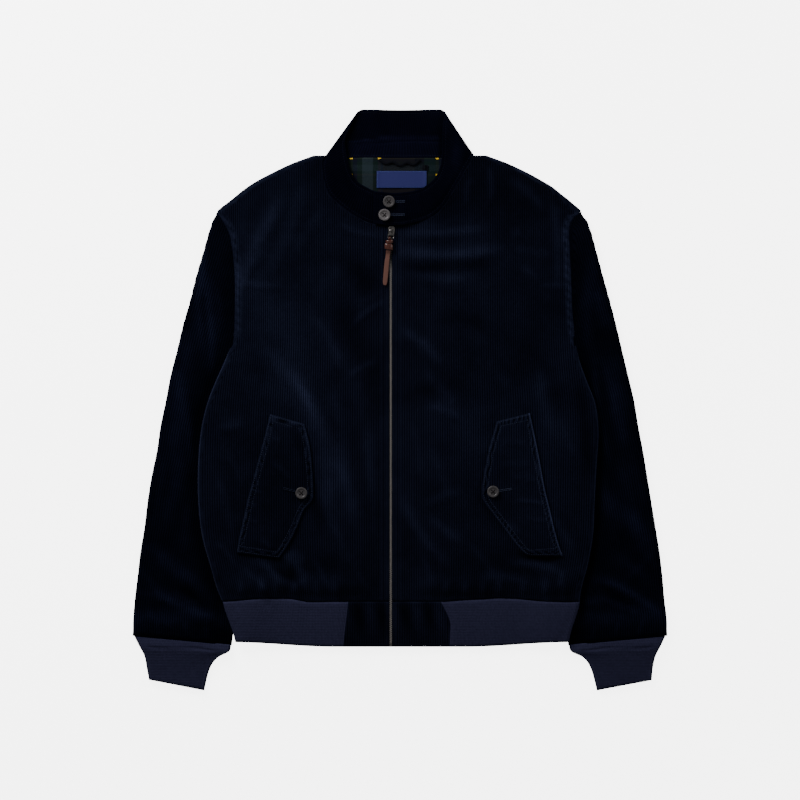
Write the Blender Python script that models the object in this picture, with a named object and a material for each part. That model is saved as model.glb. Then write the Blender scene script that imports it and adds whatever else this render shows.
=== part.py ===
"""Zip-fronted corduroy bomber jacket, laid flat and closed on a surface.

X runs across the chest, Y from hem to collar, Z up from the surface the back lies on. The fronts lie on the
back, the body's sides lie on the sleeves, and the collar is folded flat round the neck opening. Tables and
sizes are in millimetres; left and right are as seen from above with the collar at the top.
"""

import math

import bmesh
import bpy
import numpy as np

for item in list(bpy.data.objects):
    bpy.data.objects.remove(item, do_unlink=True)

MM = 0.001
WALL = 2.4            # corduroy with its lining
SEAM = 0.35           # space between pieces at a seam
LEVEL = 7.0           # top of the upper layer above the lower layer's underside
ROLL = 6.0            # how far in from an outline the cloth turns over
RISE = 6.6            # how far the body lies up on a sleeve
RAMP = 60.0           # width over which it comes down again
TUCKED = 5.8          # height of the sleeve under the body
PLATEAU = 9.0         # level stretch past the sleeve's hidden edge
HEM_Y = -271.5        # seam between the body and the hem band
TOP_Y = 330.0         # last row of the fronts, beside the collar
BACK_TOP_Y = 327.2    # neck seam of the back
ZIP_X = -12.5         # middle of the zip
ZIP_LEFT, ZIP_RIGHT = -14.3, -10.7   # folded edges of the fronts beside it
ARM_TOP, ARM_END = 255.0, 85.0   # armhole: shoulder point and underarm
COLLAR_WALL = 3.6
COLLAR_MID = 4.3
COLLAR_ROLL = 5.0

# Outline of the body: y, left x, right x, from the hem up the sides, the armholes and the shoulders.
BODY_EDGE = [
    (-274.0, -238.5, 242.0),
    (-260.5, -244.5, 243.5),
    (-223.0, -256.0, 253.0),
    (-185.0, -266.5, 260.0),
    (-136.5, -272.0, 262.5),
    (-82.5, -272.0, 265.5),
    (-55.5, -270.0, 267.5),
    (-28.5, -266.0, 267.0),
    (-1.5, -259.0, 262.5),
    (25.5, -248.5, 252.0),
    (52.5, -236.5, 242.5),
    (85.0, -225.0, 236.5),
    (113.5, -223.5, 233.5),
    (155.0, -223.0, 231.5),
    (178.0, -224.0, 230.5),
    (206.5, -227.0, 229.0),
    (225.5, -231.0, 228.0),
    (237.5, -237.0, 229.5),
    (247.0, -242.5, 235.0),
    (255.0, -246.5, 244.5),
    (263.0, -237.0, 235.5),
    (271.5, -226.0, 226.0),
    (279.5, -216.5, 215.5),
    (287.5, -206.0, 206.0),
    (295.5, -193.5, 192.5),
    (304.0, -177.5, 177.5),
    (312.0, -161.5, 161.5),
    (320.0, -144.0, 144.0),
    (328.0, -122.0, 122.0),
    (332.0, -111.5, 111.5),
]

# Inner edge of the two fronts, zip edge then neck seam: y, left x, right x.
FRONT_EDGE = [
    (-280.0, ZIP_LEFT, ZIP_RIGHT),
    (235.0, ZIP_LEFT, ZIP_RIGHT),
    (237.5, -34.5, 11.5),
    (245.5, -54.5, 38.5),
    (260.5, -77.5, 57.5),
    (279.5, -96.5, 69.5),
    (294.5, -101.0, 78.5),
    (312.0, -104.5, 88.5),
    (321.5, -104.5, 94.0),
    (328.0, -102.5, 97.0),
    (332.0, -99.0, 99.0),
]

# Seam between the body and the hem band: x, y.
HEM_SEAM = [
    (-240.0, -271.5),
    (-184.5, -267.0),
    (-146.5, -268.0),
    (-126.0, -272.0),
    (-69.5, -271.5),
    (54.5, -271.5),
    (88.5, -269.5),
    (131.5, -267.0),
    (161.5, -268.0),
    (198.0, -271.4),
    (243.0, -271.7),
]

# Outer line of the sleeves: y, left x, right x.
SLEEVE_EDGE = [
    (-318.0, -360.8, 360.8),
    (-295.5, -360.4, 360.4),
    (-271.5, -358.5, 357.5),
    (-237.5, -354.5, 354.5),
    (-204.0, -350.5, 350.5),
    (-170.0, -345.0, 345.0),
    (-136.5, -341.0, 339.5),
    (-102.5, -335.5, 334.0),
    (-69.0, -328.5, 328.5),
    (-35.0, -323.5, 322.0),
    (-1.5, -316.5, 316.5),
    (32.5, -310.0, 308.5),
    (66.0, -301.5, 300.5),
    (100.0, -293.5, 292.5),
    (133.5, -284.0, 284.0),
    (167.5, -275.5, 274.5),
    (201.0, -265.5, 265.5),
    (231.0, -257.0, 257.0),
    (247.0, -251.0, 250.5),
    (255.0, -246.5, 245.0),
]

# Inner line of the sleeves, most of it under the body: y, left x, right x.
UNDER_EDGE = [
    (-331.0, -227.0, 227.0),
    (-271.5, -219.5, 220.0),
    (-204.0, -212.5, 212.5),
    (-150.0, -202.0, 202.0),
    (-109.5, -192.5, 193.5),
    (-69.0, -186.0, 187.5),
    (-35.0, -187.0, 190.0),
    (-1.5, -200.0, 203.0),
    (20.0, -222.0, 226.0),
    (38.0, -243.8, 248.8),
]

# Rings of a sleeve: y on the outer line, y on the inner line.
SLEEVE_RINGS = [
    (247.0, 77.0),
    (228.0, 69.0),
    (202.0, 60.0),
    (174.0, 50.0),
    (145.0, 40.0),
    (115.0, 29.0),
    (84.0, 16.0),
    (54.0, 2.0),
    (22.0, -16.0),
    (-14.0, -38.0),
    (-52.0, -68.0),
    (-92.0, -103.0),
    (-130.0, -139.0),
    (-168.0, -176.0),
    (-204.0, -213.0),
    (-236.0, -246.0),
    (-262.0, -272.0),
    (-282.0, -294.0),
    (-300.0, -313.0),
    (-316.5, -329.5),
]

# Folds of the body's upper layer: start x, y, end x, y, bend, half width, height.
BODY_FOLDS = [
    (-222.0, 158.0, -160.0, 276.0, -6.0, 12.0, 3.2),
    (-190.0, 150.0, -128.0, 290.0, -8.0, 11.0, 1.8),
    (-206.0, 186.0, -160.0, 232.0, 0.0, 8.0, -1.4),
    (-184.0, 70.0, -50.0, -214.0, 26.0, 11.0, 2.8),
    (-142.0, 40.0, -92.0, -170.0, 12.0, 9.0, 1.8),
    (-150.0, -20.0, -104.0, -190.0, 6.0, 8.0, -1.4),
    (-62.0, 30.0, -36.0, -150.0, 8.0, 9.0, 1.5),
    (-194.0, -216.0, -156.0, -254.0, 3.0, 6.5, 2.6),
    (-159.0, -206.0, -122.0, -254.0, 3.0, 6.5, 2.8),
    (-150.0, -226.0, -132.0, -246.0, 0.0, 6.0, -1.6),
    (-248.0, -40.0, -206.0, -36.0, 3.0, 7.0, 1.8),
    (0.0, 224.0, 118.0, 231.0, -3.0, 6.5, 2.2),
    (-4.0, 199.0, 142.0, 204.0, -7.0, 8.5, 3.2),
    (4.0, 180.0, 124.0, 184.0, -5.0, 8.0, -1.8),
    (205.0, 272.0, 214.0, 150.0, 5.0, 7.0, 2.4),
    (120.0, 314.0, 124.0, 268.0, 2.0, 4.5, 1.6),
    (96.0, 300.0, 90.0, 262.0, -2.0, 5.0, 1.4),
    (150.0, 296.0, 196.0, 252.0, 4.0, 7.0, 1.8),
    (0.0, 94.0, 58.0, 44.0, 5.0, 7.5, 2.4),
    (30.0, 40.0, 78.0, -20.0, 4.0, 9.0, 1.8),
    (2.0, -132.0, 66.0, -224.0, -7.0, 7.5, 2.6),
    (40.0, -158.0, 84.0, -192.0, -3.0, 6.5, 1.7),
    (146.0, -220.0, 222.0, -236.0, 3.0, 6.5, 2.6),
    (108.0, -238.0, 172.0, -246.0, 2.0, 6.0, 1.8),
    (188.0, 40.0, 214.0, -60.0, -6.0, 10.0, 1.8),
]

# Gathers above the hem band: x, half width, height.
HEM_GATHERS = [
    (-214.0, 5.0, 2.0),
    (-186.0, 5.5, 2.6),
    (-168.0, 4.5, 1.6),
    (-142.0, 6.0, 2.4),
    (-112.0, 5.0, 1.7),
    (-88.0, 6.0, 1.9),
    (62.0, 5.0, 1.6),
    (88.0, 6.0, 2.4),
    (112.0, 4.5, 1.8),
    (134.0, 5.5, 2.5),
    (166.0, 5.0, 1.8),
    (196.0, 6.0, 2.6),
    (220.0, 4.5, 1.6),
]

# Folds of the sleeves: start x, y, end x, y, bend, half width, height.
SLEEVE_FOLDS = [
    (-274.0, 110.0, -306.0, -90.0, -6.0, 10.0, 2.2),
    (-262.0, 180.0, -250.0, 60.0, 4.0, 8.0, 1.6),
    (-290.0, -60.0, -326.0, -190.0, 5.0, 11.0, 1.9),
    (-338.0, -254.0, -252.0, -298.0, -5.0, 7.5, 3.0),
    (-346.0, -286.0, -300.0, -306.0, -3.0, 6.0, 1.8),
    (-330.0, -212.0, -280.0, -246.0, -4.0, 8.0, 1.8),
    (258.0, 190.0, 256.0, 60.0, -3.0, 8.0, 2.0),
    (284.0, 60.0, 304.0, -70.0, 4.0, 10.0, 2.2),
    (300.0, -70.0, 330.0, -200.0, -5.0, 11.0, 1.8),
    (272.0, -240.0, 352.0, -298.0, 4.0, 7.5, 3.0),
    (258.0, -268.0, 326.0, -288.0, 3.0, 6.5, 2.4),
    (284.0, -212.0, 340.0, -250.0, 4.0, 8.0, 1.6),
]

# Collar sections from its left end round the neck:
# neck x, y, top x, y, side (1 front, 0 fold, -1 back), lift.
COLLAR = [
    (-2.0, 235.5, -2.0, 278.3, 1, 0.0),
    (-15.5, 235.5, -15.5, 278.5, 1, 0.0),
    (-34.5, 237.5, -34.5, 282.0, 1, 0.0),
    (-54.5, 245.5, -45.0, 287.0, 1, 0.0),
    (-77.5, 260.5, -57.5, 294.5, 1, 0.0),
    (-96.5, 279.5, -65.5, 306.5, 1, 0.0),
    (-104.0, 301.0, -70.0, 321.5, 1, 0.0),
    (-104.5, 317.0, -72.5, 336.0, 1, 0.0),
    (-102.0, 325.5, -73.5, 352.5, 1, 0.0),
    (-100.0, 328.8, -65.0, 373.5, 1, 0.0),
    (-99.0, 332.0, -57.5, 389.0, 0, 0.0),
    (-91.0, 328.6, -53.5, 391.2, -1, 0.0),
    (-71.0, 327.7, -41.0, 392.1, -1, 0.0),
    (-37.0, 327.6, -19.5, 391.6, -1, 0.0),
    (-0.5, 327.6, 2.0, 391.3, -1, 0.0),
    (36.0, 327.6, 23.5, 391.6, -1, 0.0),
    (68.0, 327.7, 45.0, 392.1, -1, 0.0),
    (91.0, 328.6, 57.5, 391.2, -1, 0.0),
    (99.0, 332.0, 61.0, 389.0, 0, 0.0),
    (99.0, 328.6, 58.0, 371.5, 1, 0.0),
    (97.0, 325.3, 57.0, 352.5, 1, 0.0),
    (91.0, 316.0, 56.5, 333.5, 1, 0.0),
    (80.5, 297.0, 54.5, 316.0, 1, 0.0),
    (69.5, 279.5, 48.0, 301.0, 1, 0.0),
    (57.5, 260.5, 38.5, 291.5, 1, 0.0),
    (38.5, 245.5, 27.0, 284.5, 1, 0.3),
    (22.0, 240.0, 16.0, 281.5, 1, 2.2),
    (6.0, 236.6, 4.0, 279.8, 1, 4.4),
    (-10.0, 235.5, -10.0, 279.0, 1, 4.4),
    (-34.5, 238.0, -34.5, 281.5, 1, 4.4),
]
COLLAR_ROWS = [0.0, 0.05, 0.35, 0.68, 0.95, 1.0]

# Pocket flaps, a row across each: x, y at the sewn edge, x, y at the free edge.
FLAP_LEFT = [
    (-175.0, -19.0, -129.0, -32.5),
    (-183.5, -54.0, -122.0, -61.0),
    (-193.0, -89.0, -118.0, -98.5),
    (-200.5, -117.5, -117.0, -125.0),
    (-204.5, -131.0, -119.5, -136.5),
    (-208.0, -147.0, -130.0, -148.0),
    (-213.0, -170.0, -138.5, -170.0),
    (-217.5, -190.0, -150.0, -193.0),
    (-219.5, -206.0, -164.0, -213.5),
]
FLAP_RIGHT = [
    (175.0, -17.5, 130.5, -29.0),
    (181.0, -46.0, 120.5, -64.0),
    (187.0, -75.5, 114.0, -95.0),
    (194.5, -117.0, 110.0, -126.0),
    (198.0, -132.0, 114.0, -138.0),
    (202.0, -148.0, 126.0, -154.0),
    (207.5, -172.0, 142.0, -175.0),
    (213.5, -194.0, 158.0, -196.0),
    (219.5, -210.5, 172.0, -210.5),
]
FLAP_ACROSS = [0.0, 0.03, 0.22, 0.45, 0.68, 0.9, 0.97, 1.0]
FLAP_THICK = 3.0
FLAP_GAP = 0.55

# Cuffs: outer x, y, inner x, y, top height.
CUFF_LEFT = [
    (-359.5, -317.2, -227.5, -330.2, 7.0),
    (-352.0, -332.0, -230.5, -339.5, 9.0),
    (-345.0, -346.0, -246.0, -348.0, 7.6),
    (-342.0, -362.0, -256.5, -363.0, 6.4),
    (-339.0, -377.5, -264.0, -392.0, 6.0),
]
CUFF_RIGHT = [
    (359.0, -317.2, 227.5, -330.2, 7.0),
    (352.0, -332.0, 231.0, -339.5, 9.0),
    (345.0, -346.0, 247.5, -348.0, 7.6),
    (341.5, -362.0, 257.5, -363.0, 6.4),
    (340.0, -378.0, 265.5, -392.0, 6.0),
]

# Hem: y, left x, right x, x of the seams to the left and right hem panels.
HEM_ROWS = [
    (-272.1, -239.0, 242.5, -70.0, 55.0),
    (-283.0, -236.5, 240.5, -71.0, 61.0),
    (-299.0, -231.5, 236.0, -73.0, 67.5),
    (-316.0, -226.0, 231.0, -75.0, 67.5),
    (-333.0, -222.0, 227.5, -76.5, 67.0),
]
BAND_SIDE_LIFT = 6.5     # the band's lower edge is this much higher at the sides

# Neck lining: y, left x, right x.
LINING = [
    (327.0, -80.0, 64.0),
    (312.0, -77.0, 63.0),
    (298.0, -68.0, 54.0),
    (286.0, -52.0, 40.0),
    (274.0, -28.0, 18.0),
]

LINING_THICK = 0.8

# Woven label and size tab: left, right, lower and upper edge.
LABEL = (-31.5, 36.0, 286.0, 309.0)
TAB = (30.5, 38.0, 309.6, 317.0)
LABEL_THICK, TAB_THICK = 0.6, 0.5

# Buttons: x, y.
COLLAR_BUTTONS = [(-15.0, 267.5), (-21.0, 249.5)]
FLAP_BUTTONS = [(-133.0, -125.5), (125.5, -123.5)]
BUTTON_R = 8.0
BUTTON_H = 3.0

# Hinge of the zip pull: the bail's upper bar in the slider's crown.
PIVOT_X, PIVOT_Y, PIVOT_Z = -11.5, 229.5, 10.4


def reading(table, at, column):
    """One column of a table read at a place in its first column, by a smooth curve."""
    rows = sorted(table)
    keys = np.array([row[0] for row in rows])
    values = np.array([row[column] for row in rows])
    slopes = np.gradient(values, keys)
    at = np.clip(at, keys[0], keys[-1])
    cell = np.clip(np.searchsorted(keys, at, side="right") - 1, 0, len(keys) - 2)
    width = keys[cell + 1] - keys[cell]
    t = (at - keys[cell]) / width
    start = (2 * t**3 - 3 * t**2 + 1) * values[cell] + (t**3 - 2 * t**2 + t) * width * slopes[cell]
    end = (3 * t**2 - 2 * t**3) * values[cell + 1] + (t**3 - t**2) * width * slopes[cell + 1]
    return start + end


def straight(table, at, column):
    """The same by straight lines."""
    rows = sorted(table)
    return np.interp(at, [row[0] for row in rows], [row[column] for row in rows])


def ease(t):
    """0 to 1 with level ends."""
    t = np.clip(t, 0.0, 1.0)
    return t * t * (3 - 2 * t)


def turned(distance, radius):
    """How far up its rounding a cloth edge is at a distance in from the outline, 0 to 1."""
    t = 1 - np.clip(np.asarray(distance, float) / radius, 0.0, 1.0)
    return np.sqrt(1 - t * t)


def folded(table, x, y):
    """Height of the folds of a table at points of the plan."""
    total = np.zeros_like(x + y)
    for x0, y0, x1, y1, bend, half, height in table:
        length = math.hypot(x1 - x0, y1 - y0)
        ux, uy = (x1 - x0) / length, (y1 - y0) / length
        along = ((x - x0) * ux + (y - y0) * uy) / length
        side = (x - x0) * -uy + (y - y0) * ux
        side = side - bend * 4 * np.clip(along, 0, 1) * (1 - np.clip(along, 0, 1))
        fade = ease((along + 0.12) / 0.4) * ease((1.12 - along) / 0.4)
        total = total + height * fade * np.exp(-((side / half) ** 2))
    return total


def under_edge(y, column):
    """Inner line of a sleeve: beside the body down to the underarm fold, then under it."""
    if y <= UNDER_EDGE[-1][0]:
        return float(straight(UNDER_EDGE, y, column))
    outward = -1.0 if column == 1 else 1.0
    return float(straight(BODY_EDGE, y, column)) + outward * (SEAM + 0.35)


def rise(x, y):
    """How far the sleeves lift the body above the surface."""
    reach_left = reading(UNDER_EDGE, y, 1) + PLATEAU
    reach_right = reading(UNDER_EDGE, y, 2) - PLATEAU
    left = ease((reach_left + RAMP - x) / RAMP)
    right = ease((x - reach_right + RAMP) / RAMP)
    below_arm = ease((82.0 - y) / 38.0)
    past_hem = ease((y + 352.0) / 30.0)
    return RISE * np.maximum(left, right) * below_arm * past_hem


def body_top(x, y):
    """Height of the fronts' outer face."""
    edge = np.minimum(x - reading(BODY_EDGE, y, 1), reading(BODY_EDGE, y, 2) - x)
    neck_left = straight(FRONT_EDGE, y, 1)
    neck_right = straight(FRONT_EDGE, y, 2)
    inner = np.where(x < ZIP_X, neck_left - x, x - neck_right)
    free = ease((edge - 4.0) / 16.0) * ease((inner - 2.0) / 14.0) * ease((y - HEM_Y - 1.0) / 14.0)
    puff = 1.6 * ease((inner - 10.0) / 60.0) * ease((edge - 8.0) / 50.0) * ease((y - HEM_Y) / 60.0)
    blouse = 3.0 * np.exp(-(((y + 250.0) / 13.0) ** 2)) * ease((inner - 12.0) / 40.0)
    gathers = sum(h * np.exp(-(((x - at) / half) ** 2)) for at, half, h in HEM_GATHERS)
    gathers = gathers * np.exp(-(((y + 257.0) / 13.0) ** 2))
    lift = puff + free * (folded(BODY_FOLDS, x, y) + blouse + gathers)
    return rise(x, y) + LEVEL + np.maximum(lift, -1.2)


def sleeve_top(x, y):
    """Height of a sleeve's upper face, pressed down where the body lies on it."""
    outer = np.minimum(x - reading(SLEEVE_EDGE, y, 1), reading(SLEEVE_EDGE, y, 2) - x)
    from_body = np.maximum(reading(BODY_EDGE, y, 1) - x, x - reading(BODY_EDGE, y, 2))
    free = ease((from_body - 5.0) / 16.0) * ease((y + 326.0) / 14.0) * ease((outer + 2.0) / 10.0)
    cuff = 2.6 * np.exp(-(((y + 296.0) / 12.0) ** 2))
    lift = free * (1.2 * ease((ARM_TOP - y) / 80.0) + folded(SLEEVE_FOLDS, x, y) + cuff)
    pressed = (1 - ease((from_body - 4.0) / 10.0)) * ease((62.0 - y) / 18.0)
    return LEVEL + np.maximum(lift, -0.8) - (LEVEL - TUCKED) * pressed


def material(name, colour, roughness, metallic=0.0):
    """A plain finish."""
    found = bpy.data.materials.get(name)
    if found is None:
        found = bpy.data.materials.new(name)
        found.use_nodes = True
        shader = found.node_tree.nodes["Principled BSDF"]
        shader.inputs["Base Color"].default_value = (*colour, 1.0)
        shader.inputs["Roughness"].default_value = roughness
        shader.inputs["Metallic"].default_value = metallic
    return found


def corduroy():
    """Finish of the main cloth."""
    return material("corduroy", (0.008, 0.010, 0.022), 0.9)


def rib_knit():
    """Finish of the hem band and cuffs."""
    return material("rib_knit", (0.012, 0.015, 0.030), 0.95)


def label_blue():
    """Finish of the label and tab."""
    return material("label_blue", (0.03, 0.08, 0.30), 0.6)


def zip_metal():
    """Finish of the zip."""
    return material("zip_metal", (0.62, 0.58, 0.48), 0.35, 1.0)


def make(name, points, faces, finish, smooth=True):
    """An object from points in millimetres, its faces turned outward."""
    mesh = bpy.data.meshes.new(name)
    mesh.from_pydata([tuple(p * MM for p in point) for point in points], [], faces)
    body = bmesh.new()
    body.from_mesh(mesh)
    if body.calc_volume(signed=True) < 0:
        bmesh.ops.reverse_faces(body, faces=body.faces)
    body.to_mesh(mesh)
    body.free()
    for face in mesh.polygons:
        face.use_smooth = smooth
    mesh.materials.append(finish)
    made = bpy.data.objects.new(name, mesh)
    bpy.context.scene.collection.objects.link(made)
    return made


def cloth(name, outer, inner, finish, ring=False):
    """A closed wall between two grids of points, open or joined round."""
    rows, columns = len(outer), len(outer[0])
    points = [tuple(p) for row in outer for p in row] + [tuple(p) for row in inner for p in row]
    back = rows * columns

    def at(i, j, layer=0):
        return layer * back + i * columns + j % columns

    faces = []
    across = columns if ring else columns - 1
    for i in range(rows - 1):
        for j in range(across):
            faces.append((at(i, j), at(i, j + 1), at(i + 1, j + 1), at(i + 1, j)))
            faces.append((at(i, j, 1), at(i + 1, j, 1), at(i + 1, j + 1, 1), at(i, j + 1, 1)))
    for j in range(across):
        last = rows - 1
        faces.append((at(0, j), at(0, j, 1), at(0, j + 1, 1), at(0, j + 1)))
        faces.append((at(last, j), at(last, j + 1), at(last, j + 1, 1), at(last, j, 1)))
    if not ring:
        for i in range(rows - 1):
            last = columns - 1
            faces.append((at(i, 0), at(i + 1, 0), at(i + 1, 0, 1), at(i, 0, 1)))
            faces.append((at(i, last), at(i, last, 1), at(i + 1, last, 1), at(i + 1, last)))
    return make(name, points, faces, finish)


def armhole_roll(y):
    """1 where the body's edge turns over, 0 where a sleeve carries its layers on."""
    past_top = turned(ARM_TOP - y, ROLL)
    past_end = turned(y - ARM_END, ROLL)
    inside = (y > ARM_END) & (y < ARM_TOP)
    return np.where(inside, 1 - np.minimum(past_top, past_end), 1.0)


def edge_slope(table, y, column):
    """Length of outline for each millimetre of y."""
    step = 2.0
    change = straight(table, y + step, column) - straight(table, y - step, column)
    return np.minimum(np.hypot(1.0, change / (2 * step)), 3.2)


RIM_ANGLES = [0.0, 35.0, 65.0, 90.0]


def rim_columns(y, column, inward):
    """The rim's columns: how far in the outer and inner faces are, and their part of the rounding."""
    roll = armhole_roll(y)
    slope = edge_slope(BODY_EDGE, y, column)
    found = []
    for number, degrees in enumerate(RIM_ANGLES):
        angle = math.radians(degrees)
        level = ROLL * number / 3
        outside = roll * ROLL * slope * (1 - math.cos(angle)) + (1 - roll) * level
        inside = roll * slope * (WALL + (ROLL - WALL) * (1 - math.cos(angle))) + (1 - roll) * level
        found.append((inward * outside, inward * inside, roll * (1 - math.sin(angle))))
    return found


FRONT_ROWS = [
    -271.5, -262.0, -252.0, -240.0, -224.0, -205.0, -184.0, -160.0, -136.0, -110.0, -84.0, -58.0, -36.0,
    -16.0, 2.0, 18.0, 32.0, 46.0, 64.0, 85.0, 106.0, 130.0, 154.0, 176.0, 190.0, 204.0, 218.0, 229.0,
    235.0, 241.0, 248.5, 255.0, 264.0, 275.0, 287.0, 299.0, 311.0, 321.0, 330.0,
]
FRONT_ACROSS = [0.08, 0.17, 0.26, 0.35, 0.44, 0.53, 0.62, 0.71, 0.8, 0.88, 0.95, 1.0]


def front(name, column):
    """One front: rows from hem to shoulder, columns from the side to the zip and the neck seam."""
    inward = 1.0 if column == 1 else -1.0
    outer, inner = [], []
    for y in FRONT_ROWS:
        edge = float(reading(BODY_EDGE, y, column))
        if ARM_END < y < ARM_TOP:
            edge += inward * SEAM
        end = float(reading(FRONT_EDGE, y, column)) if y > 235.0 else float(straight(FRONT_EDGE, y, column))
        end -= inward * (SEAM if y > 235.0 else 0.0)
        places = rim_columns(y, column, inward)
        start_out, start_in = edge + places[-1][0], edge + places[-1][1]
        row_out = [(edge + a, drop) for a, b, drop in places]
        row_in = [(edge + b, drop) for a, b, drop in places]
        row_out += [(start_out + (end - start_out) * u, 0.0) for u in FRONT_ACROSS]
        row_in += [(start_in + (end - start_in) * u, 0.0) for u in FRONT_ACROSS]
        settle = float(ease((y + 245.0) / -26.0)) if y < -245.0 else 0.0
        out_row, in_row = [], []
        for (xo, drop), (xi, _) in zip(row_out, row_in):
            seam = float(straight(HEM_SEAM, xo, 1))
            place = y + (seam - HEM_Y) * settle
            top = float(body_top(np.array(xo), np.array(place)))
            middle = float(rise(np.array(edge), np.array(place))) + LEVEL / 2 + SEAM / 2
            out_row.append((xo, place, top - drop * (top - middle)))
            in_row.append((xi, place, top - WALL - drop * (top - WALL - middle)))
        outer.append(out_row)
        inner.append(in_row)
    cloth(name, outer, inner, corduroy())
    return outer


BACK_ROWS = [
    -271.5, -250.0, -224.0, -190.0, -155.0, -120.0, -84.0, -58.0, -36.0, -16.0, 2.0, 18.0, 32.0, 46.0,
    64.0, 85.0, 106.0, 130.0, 154.0, 176.0, 190.0, 204.0, 218.0, 229.0, 241.0, 248.5, 255.0, 264.0, 280.0,
    296.0, 311.0, 321.0, 330.0,
]
BACK_ACROSS = [0.045, 0.09, 0.14, 0.2, 0.3, 0.4, 0.5, 0.6, 0.7, 0.8, 0.86, 0.91, 0.955]


def back_piece():
    """The back, flat where it rests, its sides over the sleeves."""
    outer, inner = [], []
    for y in BACK_ROWS:
        left = float(reading(BODY_EDGE, y, 1))
        right = float(reading(BODY_EDGE, y, 2))
        if ARM_END < y < ARM_TOP:
            left, right = left + SEAM, right - SEAM
        first, last = rim_columns(y, 1, 1.0), rim_columns(y, 2, -1.0)
        lo, li = left + first[-1][0], left + first[-1][1]
        ro, ri = right + last[-1][0], right + last[-1][1]
        row = [(left + a, left + b, drop, left) for a, b, drop in first]
        row += [(lo + (ro - lo) * u, li + (ri - li) * u, 0.0, 0.0) for u in BACK_ACROSS]
        row += [(right + a, right + b, drop, right) for a, b, drop in reversed(last)]
        top = float(ease((y - 300.0) / 30.0))
        out_row, in_row = [], []
        for xo, xi, drop, edge in row:
            neck = (BACK_TOP_Y - TOP_Y) * (1 - float(ease((abs(xo) - 94.0) / 12.0)))
            place = y + neck * top
            low = float(rise(np.array(xo), np.array(place)))
            low_in = float(rise(np.array(xi), np.array(place)))
            middle = float(rise(np.array(edge), np.array(place))) + LEVEL / 2 - SEAM / 2
            out_row.append((xo, place, low + drop * (middle - low)))
            in_row.append((xi, place, low_in + WALL + drop * (middle - low_in - WALL)))
        outer.append(out_row)
        inner.append(in_row)
    cloth("back", outer, inner, corduroy())


def ring_points(start, end, tops, radii, wall, bottom=0.0, bow=None):
    """A flattened ring between two points of the plan: its upper side out, then its lower side back."""
    across = np.linspace(0.0, 1.0, 8)[1:-1]
    length = math.hypot(end[0] - start[0], end[1] - start[1])
    ux, uy = (end[0] - start[0]) / length, (end[1] - start[1]) / length
    outer, inner = [], []
    stations = []
    for degrees in (0.0, 45.0, 90.0):
        turn = math.radians(degrees)
        reach = radii[0] * (1 - math.cos(turn))
        stations.append((reach, wall + (radii[0] - wall) * (1 - math.cos(turn)), math.sin(turn)))
    near, far = radii[0], length - radii[1]
    for u in across:
        stations.append((near + (far - near) * u, near + (far - near) * u, 1.0))
    for degrees in (90.0, 45.0, 0.0):
        turn = math.radians(degrees)
        reach = length - radii[1] * (1 - math.cos(turn))
        stations.append((reach, length - wall - (radii[1] - wall) * (1 - math.cos(turn)), math.sin(turn)))
    for side in (1, -1):
        sweep = stations if side == 1 else list(reversed(stations))[1:-1]
        for out, inn, part in sweep:
            for reach, target, depth in ((out, outer, 0.0), (inn, inner, wall)):
                x, y = start[0] + ux * reach, start[1] + uy * reach
                if bow is not None:
                    x, y = bow(x, y, reach / length)
                top = float(tops(np.array(x), np.array(y)))
                middle = (top + bottom) / 2
                if side == 1:
                    z = middle + (top - depth - middle) * part
                else:
                    z = middle - (middle - bottom - depth) * part
                target.append((x, y, z))
    return outer, inner


def sleeve(name, column):
    """One sleeve: rings from the armhole seam to the cuff, its inner side under the body."""
    sign = -1.0 if column == 1 else 1.0
    outer, inner = [], []
    rings = [(ARM_TOP - 0.6, ARM_END - 1.0)] + SLEEVE_RINGS
    for number, (outer_y, inner_y) in enumerate(rings):
        start = (float(reading(SLEEVE_EDGE, outer_y, column)), outer_y)
        end = (under_edge(inner_y, column), inner_y)
        if number == 0:
            start = (float(reading(BODY_EDGE, ARM_TOP, column)) + sign * 1.0, ARM_TOP - 1.0)
        ring_dir = np.array([end[0] - start[0], end[1] - start[1]])
        ring_dir = ring_dir / np.linalg.norm(ring_dir)
        near = outer_y + 3.0
        ahead, behind = straight(SLEEVE_EDGE, near, column), straight(SLEEVE_EDGE, near - 6.0, column)
        tangent = np.array([float(ahead) - float(behind), 6.0])
        tangent = tangent / np.linalg.norm(tangent)
        slant = max(abs(ring_dir[0] * tangent[1] - ring_dir[1] * tangent[0]), 0.55)
        hold = float(ease((5.0 - number) / 5.0))

        def bow(x, y, part, hold=hold, start=start, end=end):
            seam = float(reading(BODY_EDGE, y, column)) + sign * SEAM
            chord = start[0] + (end[0] - start[0]) * (start[1] - y) / (start[1] - end[1])
            first = float(reading(BODY_EDGE, ARM_TOP, column))
            last = float(reading(BODY_EDGE, ARM_END, column))
            line = first + (last - first) * (ARM_TOP - y) / (ARM_TOP - ARM_END)
            inside = ARM_END < y < ARM_TOP
            offset = (seam - line) if inside else 0.0
            if hold > 0.99:
                return (seam if inside else x, y)
            return (x + hold * offset * float(ease(part / 0.1)) * float(ease((1 - part) / 0.1)), y)

        out_ring, in_ring = ring_points(
            start, end, sleeve_top, (ROLL / slant, ROLL), WALL, 0.0, bow if number < 5 else None)
        outer.append(out_ring)
        inner.append(in_ring)
    cloth(name, outer, inner, corduroy(), ring=True)


def cuff(name, table):
    """A ribbed cuff, flat, open at both ends."""
    outer, inner = [], []
    for ox, oy, ix, iy, height in table:
        out_ring, in_ring = ring_points(
            (ox, oy), (ix, iy), lambda x, y, height=height: height + 0.0 * x, (5.0, 5.0), 2.2)
        outer.append(out_ring)
        inner.append(in_ring)
    cloth(name, outer, inner, rib_knit(), ring=True)


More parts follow.
